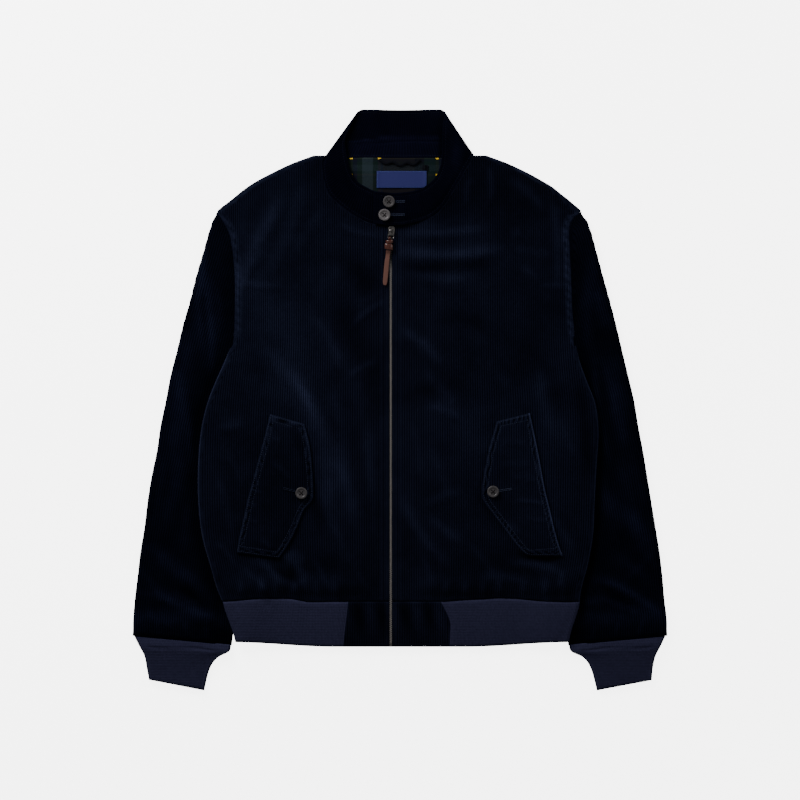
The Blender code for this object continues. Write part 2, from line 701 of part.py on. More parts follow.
BAND_FRONT = [0.0, 0.3, 0.55, 0.75, 0.9]
BAND_BACK = [0.08, 0.16, 0.24, 0.34, 0.5, 0.66, 0.76, 0.84, 0.92]
BAND_WALL = 2.2


def hem_band():
    """The ribbed band from one side of the zip round the back to the other."""
    outer, inner = [], []
    for number, (y, left, right, left_end, right_end) in enumerate(HEM_ROWS):
        left_end, right_end = left_end - SEAM, right_end + SEAM
        path = []
        for u in BAND_FRONT:
            path.append((left_end + (left + ROLL - left_end) * u, 1, 1.0, 0.0))
        for degrees in (90.0, 45.0, 0.0, -45.0, -90.0):
            path.append((left, 0, degrees, 1.0))
        for u in BAND_BACK:
            path.append((left + ROLL + (right - left - 2 * ROLL) * u, -1, 1.0, 0.0))
        for degrees in (-90.0, -45.0, 0.0, 45.0, 90.0):
            path.append((right, 0, degrees, -1.0))
        for u in reversed(BAND_FRONT):
            path.append((right_end + (right - ROLL - right_end) * u, 1, 1.0, 0.0))
        out_row, in_row = [], []
        lower = number / (len(HEM_ROWS) - 1)
        for x, layer, degrees, inward in path:
            xo = xi = x
            if layer == 0:
                turn = math.radians(degrees)
                xo = x + inward * ROLL * (1 - math.cos(turn))
                xi = x + inward * (BAND_WALL + (ROLL - BAND_WALL) * (1 - math.cos(turn)))
            side = float(ease((abs(xo) - 90.0) / 140.0))
            upper = 1.0 if layer == 1 else 0.0
            seam = (float(straight(HEM_SEAM, xo, 1)) - HEM_Y) * upper
            place = y + seam * (1 - lower) ** 2 + BAND_SIDE_LIFT * side * lower
            low = float(rise(np.array(xo), np.array(place)))
            top = low + LEVEL - 0.2
            middle = (low + top) / 2
            if layer == 1:
                zo, zi = top, top - BAND_WALL
            elif layer == -1:
                zo, zi = low, low + BAND_WALL
            else:
                part = math.sin(turn)
                reach = top - middle
                zo = middle + reach * part
                zi = middle + (reach - BAND_WALL) * part
            out_row.append((xo, place, zo))
            in_row.append((xi, place, zi))
        outer.append(out_row)
        inner.append(in_row)
    cloth("hem_band", outer, inner, rib_knit())


def hem_panel(name, column, zip_edge):
    """A corduroy end of the hem, beside the zip."""
    outer, inner = [], []
    for row in HEM_ROWS:
        y, left, right = row[0], min(row[column], zip_edge), max(row[column], zip_edge)
        places = [left, left + 1.0, left + (right - left) / 2, right - 1.0, right]
        drops = [0.6, 0.0, 0.0, 0.0, 0.6]
        outer.append([(x, y, LEVEL + 0.2 - d) for x, d in zip(places, drops)])
        inner.append([(x, y, LEVEL - WALL) for x in places])
    cloth(name, outer, inner, corduroy())


def from_fold(x, y, ends):
    """Distance from the line a collar side is folded on."""
    (ax, ay), (bx, by) = ends
    dx, dy = bx - ax, by - ay
    t = min(max(((x - ax) * dx + (y - ay) * dy) / (dx * dx + dy * dy), 0.0), 1.0)
    px, py = ax + dx * t, ay + dy * t
    return math.hypot(x - px, y - py)


def collar():
    """The stand collar: inside of the back showing, folded at both sides, its ends lapped in front."""
    folds = [(row[0:2], row[2:4]) for row in COLLAR if row[4] == 0]
    outer, inner = [], []
    for t in COLLAR_ROWS:
        out_row, in_row = [], []
        for nx, ny, tx, ty, side, lift in COLLAR:
            length = math.hypot(tx - nx, ty - ny)
            part = t + (1 - t) * (3.6 if side == 1 else 1.2) * SEAM / length
            x, y = nx + (tx - nx) * part, ny + (ty - ny) * part
            ends = folds[0] if x < 0 else folds[1]
            distance = 0.0 if side == 0 else from_fold(x, y, ends)
            up = float(turned(distance, COLLAR_ROLL))
            stand = float(ease(t / 0.35))
            edge = 0.8 * (1 - float(ease(min(t, 1 - t) / 0.05)))
            top = LEVEL + (2 * COLLAR_MID - LEVEL) * stand
            low = top - WALL - (COLLAR_WALL - WALL) * stand
            (ax, ay), (bx, by) = ends
            run = math.hypot(bx - ax, by - ay)
            inward = 1.0 if x < 0 else -1.0
            sx, sy = inward * (by - ay) / run, -inward * (bx - ax) / run
            shift = COLLAR_WALL * (1 - up) if distance < COLLAR_ROLL else 0.0
            if side == -1:
                zo = COLLAR_MID - (COLLAR_MID - 0.0) * up
                zi = COLLAR_MID - (COLLAR_MID - COLLAR_WALL) * up - edge * up
            elif side == 0:
                zo = zi = COLLAR_MID
            else:
                zo = COLLAR_MID + (top - COLLAR_MID) * up + lift - edge * up
                zi = COLLAR_MID + (low - COLLAR_MID) * up + lift
            out_row.append((x, y, zo))
            in_row.append((x + sx * shift, y + sy * shift, zi))
        outer.append(out_row)
        inner.append(in_row)
    cloth("collar", outer, inner, corduroy())
    return outer


def height_over(grid, x, y):
    """The highest point of a grid's faces above a place of the plan."""
    best = None
    for i in range(len(grid) - 1):
        for j in range(len(grid[0]) - 1):
            a, b, c, d = grid[i][j], grid[i][j + 1], grid[i + 1][j + 1], grid[i + 1][j]
            xs, ys = [p[0] for p in (a, b, c, d)], [p[1] for p in (a, b, c, d)]
            if not (min(xs) <= x <= max(xs) and min(ys) <= y <= max(ys)):
                continue
            for p, q, r in ((a, b, c), (a, c, d), (a, b, d), (b, c, d)):
                area = (q[0] - p[0]) * (r[1] - p[1]) - (r[0] - p[0]) * (q[1] - p[1])
                if abs(area) < 1e-9:
                    continue
                s = ((x - p[0]) * (r[1] - p[1]) - (r[0] - p[0]) * (y - p[1])) / area
                t = ((q[0] - p[0]) * (y - p[1]) - (x - p[0]) * (q[1] - p[1])) / area
                if s >= -1e-6 and t >= -1e-6 and s + t <= 1 + 1e-6:
                    z = p[2] + s * (q[2] - p[2]) + t * (r[2] - p[2])
                    best = z if best is None else max(best, z)
    return best


def flap(name, table, panel):
    """A pocket flap made from its panel's points, moved out."""
    outer, inner = [], []
    rows = []
    for number in range(len(table)):
        rows.append(table[number])
        if number + 1 < len(table):
            rows.append(tuple((a + b) / 2 for a, b in zip(table[number], table[number + 1])))
    for number, (sx, sy, fx, fy) in enumerate(rows):
        end = number in (0, len(rows) - 1)
        out_row, in_row = [], []
        for u in FLAP_ACROSS:
            x, y = sx + (fx - sx) * u, sy + (fy - sy) * u
            low = height_over(panel, x, y) + FLAP_GAP
            edge = 0.9 if end or u in (0.0, 1.0) else 0.0
            out_row.append((x, y, low + FLAP_THICK - edge))
            in_row.append((x, y, low))
        outer.append(out_row)
        inner.append(in_row)
    cloth(name, outer, inner, corduroy())
    return outer


def lining():
    """The part of the back's lining that shows in the neck."""
    outer, inner = [], []
    for y, left, right in LINING:
        across = np.linspace(left, right, 7)
        outer.append([(x, y, WALL + SEAM + LINING_THICK) for x in across])
        inner.append([(x, y, WALL + SEAM) for x in across])
    cloth("neck_lining", outer, inner, material("tartan_lining", (0.010, 0.030, 0.034), 0.7))


def patch(name, corners, low, thick, finish):
    """A flat woven patch."""
    left, right, bottom, top = corners
    outer = [[(x, y, low + thick) for x in (left, right)] for y in (bottom, top)]
    inner = [[(x, y, low) for x in (left, right)] for y in (bottom, top)]
    cloth(name, outer, inner, finish)


# Hanger loop: x, y, height of its underside.
LOOP = [
    (-28.0, 324.5, 3.9),
    (-20.0, 319.5, 4.2),
    (-10.0, 321.5, 4.6),
    (0.0, 317.0, 4.7),
    (9.0, 320.5, 4.6),
    (18.0, 318.0, 4.2),
    (27.0, 324.5, 3.9),
]
LOOP_WIDTH, LOOP_THICK = 3.6, 1.1


def hanger_loop():
    """A narrow loop in the neck."""
    outer, inner = [], []
    for place in np.linspace(LOOP[0][0], LOOP[-1][0], 19):
        y = float(reading(LOOP, place, 1))
        z = float(reading(LOOP, place, 2))
        near, far = y - LOOP_WIDTH / 2, y + LOOP_WIDTH / 2
        outer.append([(place, near, z + LOOP_THICK), (place, far, z + LOOP_THICK)])
        inner.append([(place, near, z), (place, far, z)])
    cloth("hanger_loop", outer, inner, loop_tape())


def loop_tape():
    """Finish of the hanger loop."""
    return material("loop_tape", (0.010, 0.011, 0.016), 0.8)


def turned_piece(name, profile, sides, centre, finish):
    """A round piece from a profile of radius and height, closed on its axis."""
    points, faces = [], []
    for radius, height in profile[1:-1]:
        for k in range(sides):
            angle = 2 * math.pi * k / sides
            across, up = radius * math.cos(angle), radius * math.sin(angle)
            points.append((centre[0] + across, centre[1] + up, centre[2] + height))
    count = len(profile) - 2
    for i in range(count - 1):
        for k in range(sides):
            n = (k + 1) % sides
            faces.append((i * sides + k, i * sides + n, (i + 1) * sides + n, (i + 1) * sides + k))
    low, high = len(points), len(points) + 1
    points.append((centre[0], centre[1], centre[2] + profile[0][1]))
    points.append((centre[0], centre[1], centre[2] + profile[-1][1]))
    for k in range(sides):
        n = (k + 1) % sides
        faces.append((low, n, k))
        faces.append((high, (count - 1) * sides + k, (count - 1) * sides + n))
    return make(name, points, faces, finish)


def cut(target, cutter):
    """Takes the cutter out of the target."""
    cutter.hide_render = True
    cutter.display_type = "WIRE"
    change = target.modifiers.new("holes", "BOOLEAN")
    change.operation = "DIFFERENCE"
    change.solver = "EXACT"
    change.object = cutter


HOLE_R = 0.95
HOLE_PLACE = 1.9


def button(name, x, y, low):
    """A four-hole button with a raised rim."""
    profile = [
        (0.0, 0.0), (BUTTON_R - 1.4, 0.0), (BUTTON_R, 1.0), (BUTTON_R, 2.2), (BUTTON_R - 0.8, BUTTON_H),
        (BUTTON_R - 2.2, BUTTON_H), (BUTTON_R - 3.2, 2.1), (0.0, 2.1),
    ]
    horn = material("button_horn", (0.045, 0.040, 0.038), 0.35)
    made = turned_piece(name, profile, 24, (x, y, low), horn)
    points, faces = [], []
    sides = 8
    for sx in (-1, 1):
        for sy in (-1, 1):
            first = len(points)
            for z in (low - 1.0, low + BUTTON_H + 1.0):
                for k in range(sides):
                    angle = 2 * math.pi * (k + 0.5) / sides
                    points.append((
                        x + sx * HOLE_PLACE + HOLE_R * math.cos(angle),
                        y + sy * HOLE_PLACE + HOLE_R * math.sin(angle), z))
            faces.append(tuple(first + k for k in reversed(range(sides))))
            faces.append(tuple(first + sides + k for k in range(sides)))
            for k in range(sides):
                n = (k + 1) % sides
                faces.append((first + k, first + n, first + sides + n, first + sides + k))
    cut(made, make(name + "_holes", points, faces, horn))
    return made


CHAIN_TOP, CHAIN_LOW = 7.1, 4.3
CHAIN_HALF, CHAIN_BEVEL = 1.5, 0.6
TAPE_LOW, TAPE_TOP = 2.95, 3.95
TAPE_LEFT, TAPE_RIGHT, TAPE_GAP = -27.0, 2.0, 0.2
ZIP_TOP, ZIP_END = 233.0, -333.0


def bar(name, section, start, end, finish):
    """A straight bar along Y from a section of x and z."""
    points = [(x, start, z) for x, z in section] + [(x, end, z) for x, z in section]
    count = len(section)
    faces = [tuple(range(count)), tuple(reversed(range(count, 2 * count)))]
    for k in range(count):
        n = (k + 1) % count
        faces.append((k, count + k, count + n, n))
    return make(name, points, faces, finish, smooth=False)


def zip_parts():
    """Tapes, the closed chain of teeth and the slider."""
    tape = material("zip_tape", (0.010, 0.012, 0.024), 0.85)
    sides = (
        ("zip_tape_left", TAPE_LEFT, ZIP_X - TAPE_GAP),
        ("zip_tape_right", ZIP_X + TAPE_GAP, TAPE_RIGHT),
    )
    for name, left, right in sides:
        section = [(left, TAPE_LOW), (right, TAPE_LOW), (right, TAPE_TOP), (left, TAPE_TOP)]
        bar(name, section, ZIP_TOP, ZIP_END, tape)
    low_half, top_half, shoulder = CHAIN_HALF, CHAIN_HALF - CHAIN_BEVEL, CHAIN_TOP - CHAIN_BEVEL
    section = [
        (ZIP_X - low_half, CHAIN_LOW), (ZIP_X + low_half, CHAIN_LOW), (ZIP_X + low_half, shoulder),
        (ZIP_X + top_half, CHAIN_TOP), (ZIP_X - top_half, CHAIN_TOP), (ZIP_X - low_half, shoulder),
    ]
    bar("zip_chain", section, ZIP_TOP, ZIP_END, zip_metal())
    slider()


# Slider plate: y from the pivot, half width.
SLIDER_PLATE = [(-7.5, 3.0), (-6.0, 3.7), (0.0, 4.4), (3.2, 4.4), (4.6, 3.4)]
PLATE_LOW, PLATE_TOP = 7.45, 8.7
CROWN_HALF = 1.1
ARCH_LONG, ARCH_HIGH, HOLE_LONG, HOLE_HIGH = 3.3, 3.0, 2.2, 1.9


def slider():
    """A plate over the teeth with an arched crown that holds the pull."""
    points, faces = [], []
    for z, inset in ((PLATE_LOW, 0.0), (PLATE_TOP - 0.4, 0.0), (PLATE_TOP, 0.5)):
        outline = [(PIVOT_X + half - inset, PIVOT_Y + y) for y, half in SLIDER_PLATE]
        outline += [(PIVOT_X - half + inset, PIVOT_Y + y) for y, half in reversed(SLIDER_PLATE)]
        points += [(x, y, z) for x, y in outline]
    count = len(SLIDER_PLATE) * 2
    faces.append(tuple(reversed(range(count))))
    faces.append(tuple(range(2 * count, 3 * count)))
    for level in range(2):
        for k in range(count):
            n = (k + 1) % count
            first = level * count
            faces.append((first + k, first + n, first + count + n, first + count + k))
    plate = make("zip_slider", points, faces, zip_metal(), smooth=False)
    # Crown: an arch along Y over the pivot, with room below it for the pull's bar.
    middle_y, middle_z, foot = PIVOT_Y - 0.2, PIVOT_Z - 0.4, PLATE_TOP - 0.5
    sweep = np.linspace(0.0, math.pi, 9)
    arch = [(middle_y + ARCH_LONG * math.cos(a), middle_z + ARCH_HIGH * math.sin(a)) for a in sweep]
    hole = [(middle_y + HOLE_LONG * math.cos(a), middle_z + HOLE_HIGH * math.sin(a)) for a in sweep[::-1]]
    ring = [(middle_y + ARCH_LONG, foot)] + arch + [(middle_y - ARCH_LONG, foot)]
    ring += [(middle_y - HOLE_LONG, foot)] + hole + [(middle_y + HOLE_LONG, foot)]
    points = [(PIVOT_X + x, y, z) for x in (-CROWN_HALF, CROWN_HALF) for y, z in ring]
    count = len(ring)
    faces = [tuple(range(count)), tuple(reversed(range(count, 2 * count)))]
    for k in range(count):
        n = (k + 1) % count
        faces.append((k, count + k, count + n, n))
    crown = make("slider_crown", points, faces, zip_metal(), smooth=False)
    crown.hide_render = True
    crown.display_type = "WIRE"
    join = plate.modifiers.new("crown", "BOOLEAN")
    join.operation = "UNION"
    join.solver = "EXACT"
    join.object = crown


BAIL_HALF, BAIL_LONG, BAIL_WIRE = 2.6, 11.5, 0.75
BAIL_CORNER = 1.2
BAIL_FLARE, BAIL_SHIFT = 0.55, -1.1      # how much wider and further left its lower bar is
STRAP_SHIFT, STRAP_LEAN = -1.9, -0.1117  # the strap hangs to the left, and leans as it goes down


def on_pull(x, along, up):
    """A point of the pull: across, down from the pivot along the strap, and up from it."""
    aside = STRAP_SHIFT * min(along / BAIL_LONG, 1.0) + STRAP_LEAN * max(along - 8.0, 0.0)
    return (PIVOT_X + x + aside, PIVOT_Y - along, PIVOT_Z + up)


def pull():
    """The wire bail and its leather strap, one moving body."""
    path = []
    corner = BAIL_CORNER
    for cx, cy, first in (
        (BAIL_HALF - corner, corner, 270), (BAIL_HALF - corner, BAIL_LONG - corner, 0),
        (-BAIL_HALF + corner, BAIL_LONG - corner, 90), (-BAIL_HALF + corner, corner, 180),
    ):
        for step in (0, 30, 60, 90):
            angle = math.radians(first + step)
            nx, ny = math.cos(angle), math.sin(angle)
            path.append((cx + corner * nx, cy + corner * ny, nx, ny))
    sides = 8
    points, faces = [], []
    for x, along, nx, ny in path:
        for k in range(sides):
            turn = 2 * math.pi * k / sides
            out, up = BAIL_WIRE * math.cos(turn), BAIL_WIRE * math.sin(turn)
            down = along / BAIL_LONG
            across = x * (1 + BAIL_FLARE * down) + BAIL_SHIFT * down
            points.append((PIVOT_X + across + nx * out, PIVOT_Y - (along + ny * out), PIVOT_Z + up))
    count = len(path)
    for i in range(count):
        for k in range(sides):
            n, m = (i + 1) % count, (k + 1) % sides
            faces.append((i * sides + k, n * sides + k, n * sides + m, i * sides + m))
    make("pull_bail", points, faces, zip_metal())


# Leather strap from the loop round the bail to the tip: along, half width, half thickness, height.
STRAP = [
    (12.9, 1.3, 1.9, 0.0),
    (14.6, 3.9, 2.5, 0.2),
    (16.5, 5.0, 2.9, 0.4),
    (18.4, 4.7, 2.7, 0.3),
    (20.2, 5.2, 2.9, 0.2),
    (22.5, 5.9, 3.0, 0.1),
    (25.4, 5.6, 2.9, -0.2),
    (28.2, 3.5, 1.9, -0.7),
    (31.0, 3.0, 1.1, -1.2),
    (42.0, 3.1, 1.0, -1.5),
    (56.0, 3.2, 1.0, -1.6),
    (66.0, 3.1, 1.0, -1.6),
    (72.0, 2.7, 0.95, -1.6),
    (75.2, 1.6, 0.8, -1.6),
]


EYE_X, EYE_HALF = -2.2, 1.45      # the strap's loop round the bail's lower bar


def pull_leather():
    """A knotted strap looped round the bail's lower bar."""
    leather = material("leather", (0.13, 0.035, 0.022), 0.55)
    sides = 10
    points, faces = [], []
    for along, half, thick, up in STRAP:
        for k in range(sides):
            turn = 2 * math.pi * (k + 0.5) / sides
            across = half * math.copysign(abs(math.cos(turn)) ** 0.6, math.cos(turn))
            above = thick * math.copysign(abs(math.sin(turn)) ** 0.6, math.sin(turn))
            points.append(on_pull(across, along, up + above))
    rows = len(STRAP)
    for i in range(rows - 1):
        for k in range(sides):
            m = (k + 1) % sides
            faces.append((i * sides + k, (i + 1) * sides + k, (i + 1) * sides + m, i * sides + m))
    faces.append(tuple(range(sides)))
    faces.append(tuple(reversed(range((rows - 1) * sides, rows * sides))))
    strap = make("pull_leather", points, faces, leather)
    eyelet, faces = [], []
    spans = 14
    inner_r, outer_r = BAIL_WIRE + 0.3, BAIL_WIRE + 1.5
    ring = []
    for k in range(spans):
        angle = 2 * math.pi * k / spans
        ring.append((math.cos(angle), math.sin(angle)))
    for x in (EYE_X - EYE_HALF, EYE_X + EYE_HALF):
        for radius in (outer_r, inner_r):
            for c, s in ring:
                eyelet.append((PIVOT_X + x, PIVOT_Y - BAIL_LONG - radius * c, PIVOT_Z + radius * s))
    for k in range(spans):
        n = (k + 1) % spans
        a, b, c, d = 0, spans, 2 * spans, 3 * spans
        faces.append((a + k, a + n, b + n, b + k))
        faces.append((c + k, d + k, d + n, c + n))
        faces.append((a + k, c + k, c + n, a + n))
        faces.append((b + k, b + n, d + n, d + k))
    loop = make("pull_loop_eye", eyelet, faces, leather)
    loop.hide_render = True
    loop.display_type = "WIRE"
    join = strap.modifiers.new("eye", "BOOLEAN")
    join.operation = "UNION"
    join.solver = "EXACT"
    join.object = loop


def build():
    """Every piece, the cloth first, then what lies on it."""
    left_front = front("front_left", 1)
    right_front = front("front_right", 2)
    back_piece()
    sleeve("sleeve_left", 1)
    sleeve("sleeve_right", 2)
    cuff("cuff_left", CUFF_LEFT)
    cuff("cuff_right", CUFF_RIGHT)
    hem_band()
    hem_panel("hem_panel_left", 3, ZIP_LEFT)
    hem_panel("hem_panel_right", 4, ZIP_RIGHT)
    stand = collar()
    flap_left = flap("pocket_flap_left", FLAP_LEFT, left_front)
    flap_right = flap("pocket_flap_right", FLAP_RIGHT, right_front)
    lining()
    label_low = WALL + SEAM + LINING_THICK + SEAM
    patch("neck_label", LABEL, label_low, LABEL_THICK, label_blue())
    patch("size_tab", TAB, label_low, TAB_THICK, label_blue())
    hanger_loop()
    zip_parts()
    pull()
    pull_leather()
    places = [
        ("collar_button_upper", *COLLAR_BUTTONS[0], stand),
        ("collar_button_lower", *COLLAR_BUTTONS[1], stand),
        ("flap_button_left", *FLAP_BUTTONS[0], flap_left),
        ("flap_button_right", *FLAP_BUTTONS[1], flap_right),
    ]
    for name, x, y, grid in places:
        angles = np.linspace(0.0, 2 * math.pi, 13)
        around = [(x + BUTTON_R * math.cos(a), y + BUTTON_R * math.sin(a)) for a in angles]
        tops = [height_over(grid, px, py) for px, py in around + [(x, y)]]
        button(name, x, y, max(top for top in tops if top is not None) + SEAM)


build()
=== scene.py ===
# %% [markdown]
# # A corduroy zip jacket, laid flat
# The jacket is a short blouson of wide-wale cotton corduroy: two fronts with a zip between them, a back, two
# sleeves, a stand collar that buttons, two slanted pocket flaps, and a ribbed hem and cuffs. It lies closed on
# a table, so its layers rest on each other and nothing is filled out.
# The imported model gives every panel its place. This script gives each one its cloth: the same form made finer,
# with the ridges of the corduroy, the creases, the sewing and the small metal and leather parts.

# %% The frame
import math

import bmesh
import bpy
import mathutils
import numpy as np
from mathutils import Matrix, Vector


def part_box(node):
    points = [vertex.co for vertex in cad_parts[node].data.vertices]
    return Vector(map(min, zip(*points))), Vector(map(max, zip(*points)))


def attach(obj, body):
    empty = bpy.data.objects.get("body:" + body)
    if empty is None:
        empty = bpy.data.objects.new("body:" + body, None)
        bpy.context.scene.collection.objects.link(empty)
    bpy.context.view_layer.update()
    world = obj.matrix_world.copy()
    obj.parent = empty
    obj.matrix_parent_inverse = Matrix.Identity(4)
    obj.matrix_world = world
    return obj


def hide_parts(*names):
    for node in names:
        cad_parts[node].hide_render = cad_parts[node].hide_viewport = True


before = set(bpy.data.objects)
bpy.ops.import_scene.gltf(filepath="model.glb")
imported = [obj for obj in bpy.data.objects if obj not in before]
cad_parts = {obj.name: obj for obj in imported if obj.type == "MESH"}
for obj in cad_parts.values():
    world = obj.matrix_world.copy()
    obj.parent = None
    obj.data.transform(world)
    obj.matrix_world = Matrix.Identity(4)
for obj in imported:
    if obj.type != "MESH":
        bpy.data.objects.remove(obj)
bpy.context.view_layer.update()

# %% [markdown]
# ## Sizes
# A maker starts from a size chart. Every length here is in millimetres: X runs across the chest, Y from hem to
# collar, Z up from the table. Left and right are as seen from above with the collar at the top.
# The outlines are short tables with a row for each height that matters, and everything between two rows is
# read off by a smooth curve. That keeps a long garment outline down to a page, and each row can be changed.

# %% Named sizes
MM = 0.001
WALL = 2.4             # corduroy with its lining
SEAM = 0.35            # space between two panels at a seam
LEVEL = 7.0            # top of the upper layer above the lower layer's underside
ROLL = 6.0             # how far in from an outline the cloth turns over
RISE = 6.6             # how far the body lies up on a sleeve
RAMP = 60.0            # width over which it comes down again
TUCKED = 5.8           # height of a sleeve under the body
PLATEAU = 9.0          # level stretch past the sleeve's hidden edge
HEM_Y = -271.5         # seam between the body and the hem band
TOP_Y = 330.0          # last row of the fronts, beside the collar
BACK_TOP_Y = 327.2     # neck seam of the back
ZIP_X = -12.5          # middle of the zip
ZIP_LEFT, ZIP_RIGHT = -14.3, -10.7   # folded edges of the fronts beside it
LAP = 0.2              # how far a panel runs into the next one at a seam, so no light comes through
ARM_TOP, ARM_END = 255.0, 85.0
WALE = 3.2             # from one ridge of the corduroy to the next
WALE_DEPTH = 0.85      # how deep the channels between the ridges are
STEPS = 4              # columns of points to a ridge
RIB = 2.2              # from one rib of the knit to the next
RIB_DEPTH = 0.45

# %% Outline of the body
# y, left x, right x, from the hem up the sides, the armholes and the shoulders
BODY_EDGE = [
    (-274, -238.5, 242),
    (-260.5, -244.5, 243.5),
    (-223, -256, 253),
    (-185, -266.5, 260),
    (-136.5, -272, 262.5),
    (-82.5, -272, 265.5),
    (-55.5, -270, 267.5),
    (-28.5, -266, 267),
    (-1.5, -259, 262.5),
    (25.5, -248.5, 252),
    (52.5, -236.5, 242.5),
    (85, -225, 236.5),
    (113.5, -223.5, 233.5),
    (155, -223, 231.5),
    (178, -224, 230.5),
    (206.5, -227, 229),
    (225.5, -231, 228),
    (237.5, -237, 229.5),
    (247, -242.5, 235),
    (255, -246.5, 244.5),
    (263, -237, 235.5),
    (271.5, -226, 226),
    (279.5, -216.5, 215.5),
    (287.5, -206, 206),
    (295.5, -193.5, 192.5),
    (304, -177.5, 177.5),
    (312, -161.5, 161.5),
    (320, -144, 144),
    (328, -122, 122),
    (332, -111.5, 111.5),
]

# %% Inner edge of the fronts
# y, left x, right x: the zip edge, then the neck seam
FRONT_EDGE = [
    (-280, ZIP_LEFT, ZIP_RIGHT),
    (235, ZIP_LEFT, ZIP_RIGHT),
    (237.5, -34.5, 11.5),
    (245.5, -54.5, 38.5),
    (260.5, -77.5, 57.5),
    (279.5, -96.5, 69.5),
    (294.5, -101, 78.5),
    (312, -104.5, 88.5),
    (321.5, -104.5, 94),
    (328, -102.5, 97),
    (332, -99, 99),
]

# %% Seam between the body and the hem band
# x, y
HEM_SEAM = [
    (-240, -271.5),
    (-184.5, -267),
    (-146.5, -268),
    (-126, -272),
    (-69.5, -271.5),
    (54.5, -271.5),
    (88.5, -269.5),
    (131.5, -267),
    (161.5, -268),
    (198, -271.4),
    (243, -271.7),
]

# %% Outer line of the sleeves
# y, left x, right x
SLEEVE_EDGE = [
    (-318, -360.8, 360.8),
    (-295.5, -360.4, 360.4),
    (-271.5, -358.5, 357.5),
    (-237.5, -354.5, 354.5),
    (-204, -350.5, 350.5),
    (-170, -345, 345),
    (-136.5, -341, 339.5),
    (-102.5, -335.5, 334),
    (-69, -328.5, 328.5),
    (-35, -323.5, 322),
    (-1.5, -316.5, 316.5),
    (32.5, -310, 308.5),
    (66, -301.5, 300.5),
    (100, -293.5, 292.5),
    (133.5, -284, 284),
    (167.5, -275.5, 274.5),
    (201, -265.5, 265.5),
    (231, -257, 257),
    (247, -251, 250.5),
    (255, -246.5, 245),
]

# %% Inner line of the sleeves, most of it under the body
# y, left x, right x
UNDER_EDGE = [
    (-331, -227, 227),
    (-271.5, -219.5, 220),
    (-204, -212.5, 212.5),
    (-150, -202, 202),
    (-109.5, -192.5, 193.5),
    (-69, -186, 187.5),
    (-35, -187, 190),
    (-1.5, -200, 203),
    (20, -222, 226),
    (38, -243.8, 248.8),
]

# %% Rings of a sleeve
# y on the outer line, y on the inner line
SLEEVE_RINGS = [
    (247, 77),
    (228, 69),
    (202, 60),
    (174, 50),
    (145, 40),
    (115, 29),
    (84, 16),
    (54, 2),
    (22, -16),
    (-14, -38),
    (-52, -68),
    (-92, -103),
    (-130, -139),
    (-168, -176),
    (-204, -213),
    (-236, -246),
    (-262, -272),
    (-282, -294),
    (-300, -313),
    (-316.5, -329.5),
]

# %% [markdown]
# ## Folds
# Cloth that lies down keeps soft ridges where it was pulled: from the underarms to the shoulders, across the
# chest, down the fronts, and in short gathers where it is drawn into the ribbing. A simulation would make
# folds, but not these ones, so each is a row of its own: where it starts and ends, how far it bows, how wide
# and how high it is. The first table is shared with the solid. The second has the finer ones that only show
# once light rakes over the nap.

# %% Folds of the body
# start x, y, end x, y, bend, half width, height
BODY_FOLDS = [
    (-222, 158, -160, 276, -6, 12, 3.2),
    (-190, 150, -128, 290, -8, 11, 1.8),
    (-206, 186, -160, 232, 0, 8, -1.4),
    (-184, 70, -50, -214, 26, 11, 2.8),
    (-142, 40, -92, -170, 12, 9, 1.8),
    (-150, -20, -104, -190, 6, 8, -1.4),
    (-62, 30, -36, -150, 8, 9, 1.5),
    (-194, -216, -156, -254, 3, 6.5, 2.6),
    (-159, -206, -122, -254, 3, 6.5, 2.8),
    (-150, -226, -132, -246, 0, 6, -1.6),
    (-248, -40, -206, -36, 3, 7, 1.8),
    (0, 224, 118, 231, -3, 6.5, 2.2),
    (-4, 199, 142, 204, -7, 8.5, 3.2),
    (4, 180, 124, 184, -5, 8, -1.8),
    (205, 272, 214, 150, 5, 7, 2.4),
    (120, 314, 124, 268, 2, 4.5, 1.6),
    (96, 300, 90, 262, -2, 5, 1.4),
    (150, 296, 196, 252, 4, 7, 1.8),
    (0, 94, 58, 44, 5, 7.5, 2.4),
    (30, 40, 78, -20, 4, 9, 1.8),
    (2, -132, 66, -224, -7, 7.5, 2.6),
    (40, -158, 84, -192, -3, 6.5, 1.7),
    (146, -220, 222, -236, 3, 6.5, 2.6),
    (108, -238, 172, -246, 2, 6, 1.8),
    (188, 40, 214, -60, -6, 10, 1.8),
]
